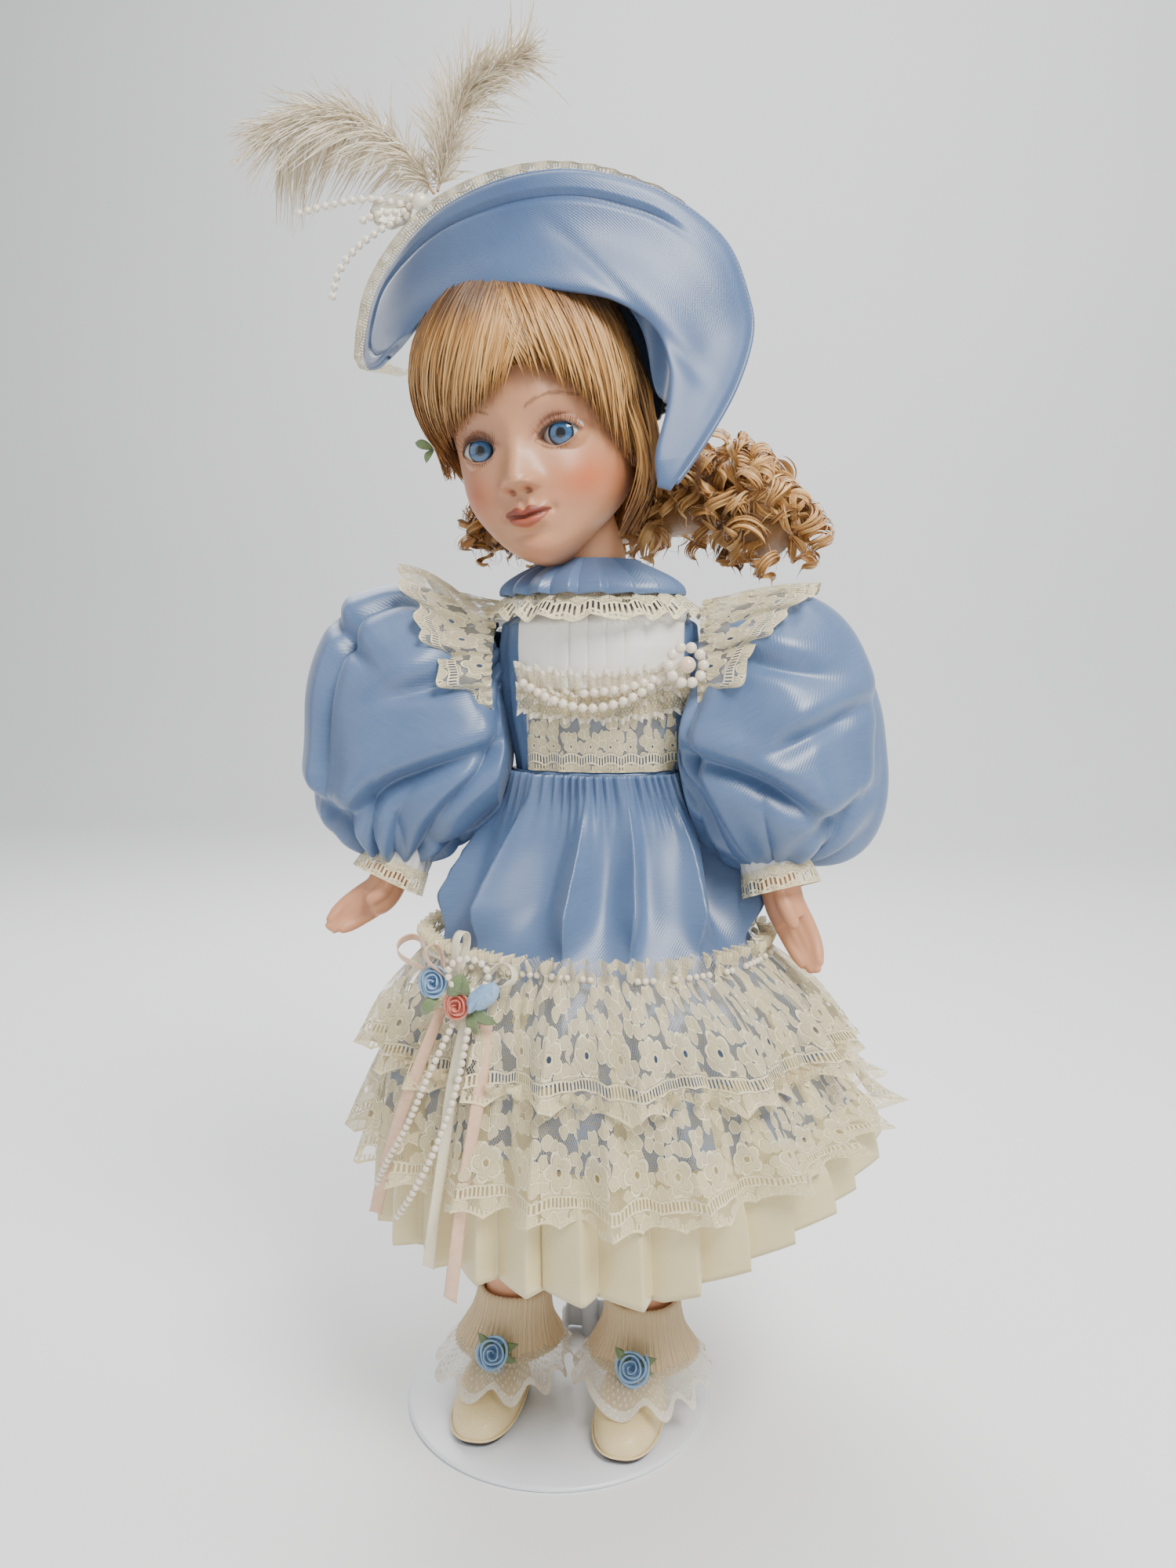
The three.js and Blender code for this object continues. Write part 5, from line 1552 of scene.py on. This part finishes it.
def brows_and_lashes():
    """Feathered painted brows and fine lashes fanned along both lids."""
    random = np.random.default_rng(171)
    brows, lashes = Soup(), Soup()
    t = np.linspace(0, 1, 9)
    across = unit(np.array((1.0, 0.1, 0)))
    brow_hairs, upper_lashes, lower_lashes = 110, 46, 26
    for sign in (-1, 1):
        for _ in range(brow_hairs):
            s = random.random()
            x = sign * (6.0 + 15.5 * s + (1.7 + 0.9 * s) * t)
            z = 0.2 + 3.6 * math.sin(s * 2.5) - 1.2 * s + random.normal() * 0.32
            z = z + (1.4 - 2.4 * s) * t + 0.3 * np.sin(t * 3)
            line = posed(on_face(x, z, 0.09))
            side = unit(posed(on_face(x, z + 1.0, 0.09)) - line)
            brows.grid(band(line, side, 0.15 * np.sin(np.clip(t * 0.9 + 0.08, 0, 1) * math.pi), columns=2))
        for k in range(upper_lashes):
            s = (k + random.random()) / upper_lashes * 1.9 - 0.95
            x = EYE_AT[0] + s * EYE_HALF
            z = EYE_AT[2] + UPPER_LID * max(0.0, 1 - s * s) ** 0.75 + 0.05
            reach = 3.0 + 1.4 * random.random()
            line = (on_face(np.array([sign * x]), np.array([z]), 0.15)
                    + np.outer(t * reach, (sign * (0.75 * s + 0.12), -0.75, 0.35))
                    + np.outer(t ** 2 * reach * 0.55, (0, 0.12, 1.0)))
            lashes.grid(band(posed(line), across, 0.2 * (1 - t) + 0.03, columns=2))
        for k in range(lower_lashes):
            s = (k + random.random()) / lower_lashes * 1.7 - 0.85
            x = sign * (EYE_AT[0] + s * EYE_HALF + 0.5 * s * t)
            z = EYE_AT[2] - LOWER_LID * max(0.0, 1 - s * s) ** 0.85 - 0.3 - 1.5 * t
            lashes.grid(band(posed(on_face(x, z, 0.07)), across, 0.13 * (1 - t) + 0.03, columns=2))
    brows.object("painted_brows", BROW, "head", "bisque")
    lashes.object("eyelashes", LASH, "head", "hair")


head()
eyes()
brows_and_lashes()


# ---------------------------------------------------------------- hair
def on_scalp(azimuth, z, off):
    """A point over the skull in head axes; azimuth in degrees, 0 in front, positive to the viewer's right."""
    a = np.radians(azimuth)
    crown = np.sqrt(np.maximum(0.0, 1 - (np.maximum(z, 0) / 54) ** 2))
    half = np.where(z > 0, 32.4 * crown, eased(HALF_WIDTH, z))
    face = np.where(np.cos(a) > 0, eased(FRONT_DEPTH, z), eased(BACK_DEPTH, z))
    deep = np.where(z > 0, 38.2 * crown, face)
    return point_grid((half + off) * np.sin(a), -(deep + off) * np.cos(a), z)


def combed(azimuth, z, off, straight):
    """A lock's line over the skull and the way out from it; straight is the azimuth that it faces."""
    line = posed(on_scalp(azimuth, z, off))
    return line, unit(posed(on_scalp(straight, z, off + 2)) - line)


# The fringe's lower edge: azimuth and height.
LOWER_EDGE = np.array([
    (-120, -26), (-100, -16), (-82, -9), (-65, -4), (-45, -1.5), (-25, 1.5), (-5, 7), (7, 13), (12, 15),
    (24, 11), (40, 4), (52, -7), (62, -16), (75, -22), (95, -26)], float)


def fringe_lock(random, soup, root, tip, layer, tone, width):
    """A lock from under the bonnet down to the fringe's edge, swept to one side and tucked in at its tip."""
    t = np.linspace(0, 1, 15)
    low = np.interp(tip, LOWER_EDGE[:, 0], LOWER_EDGE[:, 1]) + random.normal() * 1.8 + (1 - layer) * 2.4
    azimuth = root + (tip - root) * t ** 1.6 + random.normal() * np.sin(t * math.pi)
    z = 51.5 + random.normal() * 1.2 + (low - 51.5) * t ** 1.15 + 0.5 * np.sin(t * 9 + tip) * t
    fullness = 2.6 + 6.6 * bell(tip + 78, 38) + 2.0 * bell(tip - 55, 25)
    off = 1.6 + 2.6 * layer + fullness * np.sin(np.clip(t * 0.96, 0, 1) * math.pi) ** 0.8 - 0.8 * t ** 4
    # The tone falls near the root, a painted shadow under the bonnet over truly darker roots, and a little at
    # the tucked-in tip as painted shade.
    roots_and_painted_shade = tone * (0.1 + 0.9 * ramp(t, 0.3, 0.62)) * (1 - 0.25 * ramp(t, 0.75, 1.0))
    soup.strand(*combed(azimuth, z, off, azimuth), width, roots_and_painted_shade[:, None])


def fringe():
    """Bangs swept to the viewer's left from a parting over the right eye, and a right temple lock."""
    random = np.random.default_rng(211)
    soup = Soup()
    clumps = np.concatenate([np.linspace(-112, 6, 44), np.linspace(12, 92, 26)])
    locks = 2300
    for k in range(locks):
        middle = clumps[k % len(clumps)]
        tip = middle + random.normal() * 1.5
        loose = random.normal() * 5
        root = tip + loose + (26 if middle < 9 else -9) * (0.8 + 0.3 * random.random())
        layer = (k // len(clumps)) / (locks // len(clumps))
        # Inner layers get a lower tone, a painted shade deep in the fringe; the rest differs at random.
        tone = np.clip(0.3 + 0.36 * layer + random.normal() * 0.17, 0, 1)
        fringe_lock(random, soup, root, tip, layer, tone, 0.55 + 0.35 * random.random())
    soup.object("fringe_hair", HAIR, "head", "hair", "bangs")


def wig():
    """The wig's cap, hair at a dark tone as painted shade between the strands, with hair combed down over the
    sides and back.
    """
    random = np.random.default_rng(223)
    azimuth, z = np.meshgrid(np.linspace(-180, 180, 121)[:-1], np.linspace(-36, 53.5, 60))
    z = np.maximum(z, 14 * ramp(np.abs(azimuth), 95, 62) + (z + 36) * 0.25)
    # The cap's low tone is a painted shade under the hair.
    soup = Soup().ring(posed(on_scalp(azimuth, z, 1.3)), tone=0.16)
    t = np.linspace(0, 1, 22)
    for _ in range(900):
        start = 68 + 224 * random.random()
        depth = random.random()
        low = -38 - 10 * random.random() + 32 * ramp(start, 215, 265)
        wave = 1.4 * np.sin(t * 13 + start * 0.05 + random.normal() * 0.6) * t
        off = 2.0 + 2.4 * depth + 3.2 * np.sin(t * math.pi * 0.8) + wave
        level = 53.4 + (low - 53.4) * t ** 1.15
        line, outward = combed(start + wave * 1.6, level, off, start)
        width = 0.8 + 0.4 * random.random()
        soup.strand(line, outward, width, np.clip(0.3 + random.normal() * 0.18, 0, 1))
    soup.object("wig_hair", HAIR, "head", "hair", "wig")


# The mass of ringlets: its path behind the neck, and how far it reaches from each point.
CURL_PATH = [(-44, 18, 340), (-20, 40, 344), (14, 42, 350), (40, 34, 353), (58, 24, 347), (70, 14, 335)]
CURL_REACH = [11, 16, 20, 23, 23, 15]


def ringlet(random, soup, middle, room, t):
    """One bundle of locks coiled together round a bent core."""
    aim = unit(random.normal(size=3) * (1.0, 0.9, 0.9) + (0.35, -0.2, -0.15))
    start = middle + unit(aim + (-0.6, 0, 0.8)) * room * 0.55
    end = middle + aim * room * 1.02 + (0, 0, -0.2 * room)
    bend = middle + unit(aim + (0, 0, 0.55)) * room
    core = smooth_line([start, bend, end], len(t))
    coil = (3.6 + 3.6 * random.random()) * np.sin(np.clip(t * 1.15 + 0.05, 0, 1) * math.pi) ** 0.5
    turns = (1.2 + 1.3 * random.random()) * TAU * (1 if random.random() < 0.5 else -1)
    _, a, b = frames_along(core)
    colour = 0.55 + random.normal() * 0.15
    phase = random.random() * TAU
    for n in range(17):
        spin = (turns * t + phase + n * 0.1 + random.normal() * 0.12)[:, None]
        size = coil * (0.78 + 0.4 * random.random())
        out = a * np.cos(spin) + b * np.sin(spin)
        width = 0.42 + 0.3 * random.random()
        soup.strand(core + out * size[:, None], out, width, np.clip(colour + random.normal() * 0.2, 0, 1), 2)


def curls():
    """Loose ringlets massed behind the neck and over the right shoulder round a dark core of painted shade,
    with stray hairs round them.
    """
    random = np.random.default_rng(239)
    count = 60
    path = smooth_line(CURL_PATH, count)
    reach = np.interp(np.linspace(0, 1, count), np.linspace(0, 1, len(CURL_REACH)), CURL_REACH)
    # The core's low tone is a painted shade deep in the mass of ringlets.
    soup = Soup().ring(tube(path, reach * 0.56, 20), tone=0.16)
    t = np.linspace(0, 1, 46)
    for _ in range(250):
        at = min(count - 1, int(count * (0.04 + 0.95 * random.random())))
        ringlet(random, soup, path[at], reach[at], t)
    for _ in range(320):
        at = int(count * random.random())
        aim = unit(random.normal(size=3) + (0.2, 0, 0.3))
        start = path[at] + aim * reach[at] * 0.6
        swirl = unit(np.cross(aim, random.normal(size=3)))
        size = 3 + 4 * random.random()
        line = start + np.outer(np.sin(t * 3.4), aim) * size
        line = line + np.outer(1 - np.cos(t * 4.2), swirl) * size * 0.7
        soup.strand(line, aim, 0.22, 0.75)
    soup.object("ringlets", HAIR, "head", "hair", "curls")


fringe()
wig()
curls()


# ---------------------------------------------------------------- bonnet, in the row frame
BRIM_OUTER = np.array([
    (-69, 402), (-79, 401), (-90, 406), (-95, 416), (-87, 431), (-68, 439), (-45, 446), (-5, 452), (22, 449),
    (38, 443), (52, 432), (59, 416), (61, 402), (56, 382), (46, 361), (37, 346)], float)
BRIM_INNER = np.array([
    (-66, 404), (-59, 405), (-50, 409), (-38, 411), (-18, 413), (2, 411), (18, 408), (30, 400), (35, 388),
    (35, 374), (32, 358), (33, 347)], float)
BRIM_Y, BRIM_THICK = -43.5, 8.5
CROWN_X, CROWN_Z = -13, 396


def brim_lay(x, z):
    """The y of the brim's middle surface, wrapped back towards its ends."""
    return BRIM_Y + np.where(x < -12, 0.011, 0.006) * (x + 12) ** 2 + 0.25 * (z - 412)


def brim_edge(edge, count):
    """An edge of the brim as x and z, evenly spaced along its curve."""
    return smooth_line(np.concatenate([edge, np.zeros((len(edge), 1))], 1), count)[:, :2]


def brim():
    """Padded satin brim over the face, seamed to a bound edge, its right end hanging to a point."""
    columns, rows = 260, 84
    outer, inner = (brim_edge(edge, columns) for edge in (BRIM_OUTER, BRIM_INNER))
    u = np.linspace(0, 1, columns)[None, :]
    turn = around(rows)[:, None]
    v = 0.5 - 0.5 * np.cos(turn)
    front = np.sin(turn) >= 0
    x, z = np.moveaxis(inner[None] + (outer - inner)[None] * v[..., None], -1, 0)
    span = np.linalg.norm(outer - inner, axis=1)[None, :]
    ends = np.minimum(1, np.minimum(u * 26, (1 - u) * 20)) ** 0.5
    plump = BRIM_THICK * 0.5 * np.abs(np.sin(turn)) ** 0.75 * ends
    seam_at = 1 - 8.5 / np.maximum(span, 16)
    seam = 3.0 * bell((v - seam_at) * span, 0.9) * front * ramp(u, 0.02, 0.08) * ramp(u, 0.66, 0.58)
    hollow = 3.4 * bell(v - 0.45, 0.3) * front * ramp(u, 0.1, 0.3) * ramp(u, 0.95, 0.75)
    dents = 1.5 * drift(251, x, z, waves=7, pitch=0.055) * bell(v - 0.5, 0.4)
    crease = 1.2 * bell((x - 22) * 0.7 + (z - 408) * 0.7, 3.0) * bell(v - 0.2, 0.3) * front
    rolled = 0.8 * bell((v - 0.97) * span, 3) * front
    y = brim_lay(x, z) + np.where(front, -plump + seam + hollow + crease - rolled, plump) + dents * ends
    xyz = point_grid(x, y, z)
    caps = [np.broadcast_to(xyz[:, i].mean(0), (rows, 1, 3)) for i in (0, -1)]
    padding = np.concatenate([caps[0], xyz, caps[1]], 1).transpose(1, 0, 2)
    # The brim and its piping wear the bonnet satin, painted darker as shade.
    Soup().ring(padding).object("brim_padded", SHADED_BONNET_SATIN, "hat", "blue_satin", "hat_brim")
    edge = point_grid(outer[:, 0], brim_lay(outer[:, 0], outer[:, 1]) + 0.2, outer[:, 1])
    Soup().ring(tube(evenly(edge, 300)[3:-3], 0.9, 12)).object(
        "brim_piping", SHADED_BONNET_SATIN, "hat", "blue_satin")


def crown_point(polar, turn, off):
    """A point on the crown's dome about its lift axis."""
    x, y, z = np.sin(polar) * np.sin(turn), -np.sin(polar) * np.cos(turn), np.cos(polar)
    return np.stack([CROWN_X + (47 + off) * x, 2 + (48 + off) * y, CROWN_Z + (47 + off) * z], -1)


def crown():
    """Gathered satin crown over the back of the head."""
    turn, t = np.meshgrid(around(360), np.linspace(0.002, 1, 70))
    front = ramp(np.cos(turn), 0.25, 0.85)
    folds = np.sin(uneven(turn, 261, 0.6) * 21) * 0.8 + np.sin(uneven(turn, 263, 0.8) * 9) * 0.6
    off = -1.4 + folds * ramp(t, 0.05, 0.35) * (1.3 - 0.55 * t) + 0.7 * drift(265, turn * 3, t * 9)
    cloth = crown_point(t * (1.86 - 0.94 * front), turn, off)
    sheet(Soup().ring(cloth), "crown_satin", BLUE_SATIN, "hat", "blue_satin", 88, "gathered", ["wig_hair"],
          "hat_crown", thick=0.5)


def crown_lace():
    """Cream net and lace gathered over the crown."""
    turn, t = np.meshgrid(around(420), np.linspace(0.02, 1, 46))
    off = 1.6 + np.sin(uneven(turn, 271, 0.9) * 26) * (0.35 + 0.9 * t)
    cloth = crown_point(t * (1.25 - 0.6 * ramp(np.cos(turn), -0.35, 0.35)), turn, off)
    sheet(Soup().ring(cloth, uv=closed_uv(turn / TAU * 300, (1 - t) * 60, 300)), "crown_lace", LACE, "hat",
          "lace", 62, "draped", ["crown_satin"])


def brim_frill():
    """The crown's lace standing in a frill behind the brim's edge."""
    x, z = brim_edge(BRIM_OUTER, 420)[8:290].T
    back = point_grid(x, brim_lay(x, z) + 4.5, z)
    s = np.linspace(0, 1, len(x))
    inward = unit(point_grid(CROWN_X - x, 0, CROWN_Z - z))
    rise = 10.0 * np.sin(np.clip(s * 1.05, 0, 1) * math.pi) ** 0.45 * (1.1 - 0.75 * s)
    wave = np.sin(s * 150 + 2.2 * np.sin(s * 17)) * 1.5 + np.sin(s * 61) * 0.9
    across = np.linspace(0, 1, 16)[:, None]
    frill = back + inward * (7 - across * 7 - across * (rise + wave * 0.4))[..., None]
    frill[..., 1] += 2.2 - 1.6 * across + across * wave * 0.8 + 6 * (1 - across)
    uv = point_grid(s * length_of(back) * 1.3, (1 - across) * 20)
    sheet(Soup().grid(frill, uv=uv), "brim_frill", LACE_BIB, "hat", "lace", 20, "gathered", ["crown_lace"])


def barbs(soup, random, shaft, reach, curl, droop):
    """Feather barbs down both sides of a shaft, each a thin curling fibre."""
    t = np.linspace(0, 1, 13)
    tangents, sides, lifts = frames_along(shaft)
    for k in range(1300):
        place = 0.04 + 0.96 * random.random()
        at = min(len(shaft) - 1, int(place * len(shaft)))
        length = np.interp(place, [0, 0.15, 0.5, 0.85, 1], reach) * (0.65 + 0.5 * random.random())
        out = unit(sides[at] * (-1 if k % 2 else 1) + lifts[at] * random.normal() * 0.55)
        along = tangents[at] * (0.75 + 0.4 * random.random())
        line = shaft[at] + np.outer(t * length * 0.8, out) + np.outer(t ** 1.4 * length * 0.75, along)
        line = line + np.outer(t ** 2 * length * curl * random.normal(), lifts[at])
        line = line - np.outer(t ** 2 * length * droop, (0, 0, 1))
        line = line + np.outer(np.sin(t * 9 + k) * 0.35 * t, out)
        outward = unit(np.cross(out, tangents[at]) + random.normal(size=3) * 0.3)
        width = 0.3 + 0.25 * random.random()
        soup.strand(line, outward, width, np.clip(0.5 + random.normal() * 0.25, 0, 1))


def plume(name, points, reach, seed, curl, droop, replaced):
    shaft = smooth_line(points, 90)
    soup = Soup()
    barbs(soup, np.random.default_rng(seed), shaft, reach, curl, droop)
    soup.object(name, PLUME, "hat", "feather", replaced)
    Soup().ring(tube(shaft, np.linspace(0.55, 0.15, 90), 8)).object(name + "_shaft", QUILL, "hat", "feather")


def hat_trim():
    """Clear cream oval and pearls at the feathers' foot, with three hanging strings of pearls."""
    polar, turn = sphere_angles(40, 56)
    lobes = 1 + 0.035 * np.cos(turn * 8) * np.sin(polar)
    oval = point_grid(7.6 * np.sin(polar) * np.cos(turn) * lobes, 4.2 * np.cos(polar),
                      6.0 * np.sin(polar) * np.sin(turn) * lobes)
    Soup().ring(oval + (-66, -17, 449)).object("clear_oval", CLEAR_BEAD, "hat", "pearl", "hat_ornament")
    for name, route in (
            ("pearl_spray_1", [(-58, -20, 449), (-72, -21, 452), (-86, -20, 451.5), (-100, -18, 450)]),
            ("pearl_spray_2", [(-59, -20, 446), (-70, -20.5, 441), (-80, -19, 435), (-86, -18, 428),
                               (-88.5, -17, 421)])):
        centres = evenly(smooth_line(route, 60), max(6, int(length_of(np.array(route, float)) / 3.1)))
        soup = Soup().beads(centres, 1.35, 10, 14).ring(tube(smooth_line(route, 40), 0.25, 6))
        soup.object(name + "_beads", PEARL, "hat", "pearl", name)
    short = smooth_line([(-60, -21, 447), (-68, -22, 446.5), (-75, -21, 445)], 30)
    soup = Soup().beads([(-53.5, -22, 449.5), (-57.5, -20.5, 451.8)], (3.1, 1.6))
    soup.beads(evenly(short, 6), 1.35, 10, 14).object("hat_pearls", PEARL, "hat", "pearl")


def temple_leaf():
    soup = Soup()
    base = posed((-33.5, -25, -5.0))
    for heading, length, width in (((-0.9, -0.2, 0.3), 7, 3.4), ((-0.4, -0.3, -0.9), 6, 3.0)):
        ribbon_leaf(soup, base, heading, (-0.2, -1, 0.2), length, width)
    soup.object("temple_leaf", LEAF_GREEN, "head", "ribbon_flowers")


brim()
crown()
crown_lace()
brim_frill()
plume("plume_left", [(-51, -14, 455), (-62, -13, 470), (-78, -12, 480), (-96, -11, 484), (-112, -9, 478)],
      [7, 15, 20, 21, 15], 281, 0.35, 0.5, "feather_left")
plume("plume_right", [(-50, -13, 456), (-47, -11, 472), (-45, -10, 484), (-37, -9, 494), (-20, -7, 502)],
      [9, 16, 17, 12, 13], 283, 0.35, 0.03, "feather_right")
hat_trim()
temple_leaf()


# ---------------------------------------------------------------- floor and light
def studio():
    """A pale sweep under the stand, a large soft key from the right, and a bright even surround."""
    mesh = bpy.data.meshes.new("floor")
    reach, back, top = 3.0, 1.4, 2.4
    bend = [(back + 0.5 * math.sin(a), 0.5 - 0.5 * math.cos(a)) for a in np.radians(np.linspace(0, 90, 13))]
    rows = [(-reach, 0.0)] + bend + [(back + 0.5, top)]
    points = [(x, y, z) for y, z in rows for x in (-reach, reach)]
    mesh.from_pydata(points, [], [(2 * i, 2 * i + 1, 2 * i + 3, 2 * i + 2) for i in range(len(rows) - 1)])
    for face in mesh.polygons:
        face.use_smooth = True
    look = Look("floor_paper", 0.75)
    look.color(look.blend(linear(232, 233, 233), linear(240, 240, 240), look.noise(3.0)))
    mesh.materials.append(look.material)
    floor = bpy.data.objects.new("floor", mesh)
    bpy.context.scene.collection.objects.link(floor)
    world = bpy.data.worlds.new("surround")
    world.use_nodes = True
    world.node_tree.nodes["Background"].inputs[0].default_value = (0.95, 0.97, 1.0, 1)
    world.node_tree.nodes["Background"].inputs[1].default_value = 0.55
    bpy.context.scene.world = world
    for name, place, aim, size, power, colour in (
            ("key", (0.5, -0.55, 1.05), (0, 0, 0.24), 0.45, 19.0, (1.0, 0.985, 0.96)),
            ("fill", (-0.9, -0.6, 0.55), (0, 0, 0.24), 0.9, 2.2, (0.94, 0.97, 1.0)),
            ("rim", (-0.35, 0.7, 1.0), (0, 0, 0.24), 0.7, 9.0, (1.0, 1.0, 1.0)),
            ("wall", (0.0, 0.5, 1.7), (0, 1.9, 0.5), 1.4, 26.0, (1.0, 1.0, 1.0))):
        data = bpy.data.lights.new(name, "AREA")
        data.size = size
        data.energy = power
        data.color = colour
        lamp = bpy.data.objects.new(name, data)
        lamp.location = place
        lamp.rotation_euler = (Vector(aim) - Vector(place)).to_track_quat("-Z", "Y").to_euler()
        bpy.context.scene.collection.objects.link(lamp)


studio()
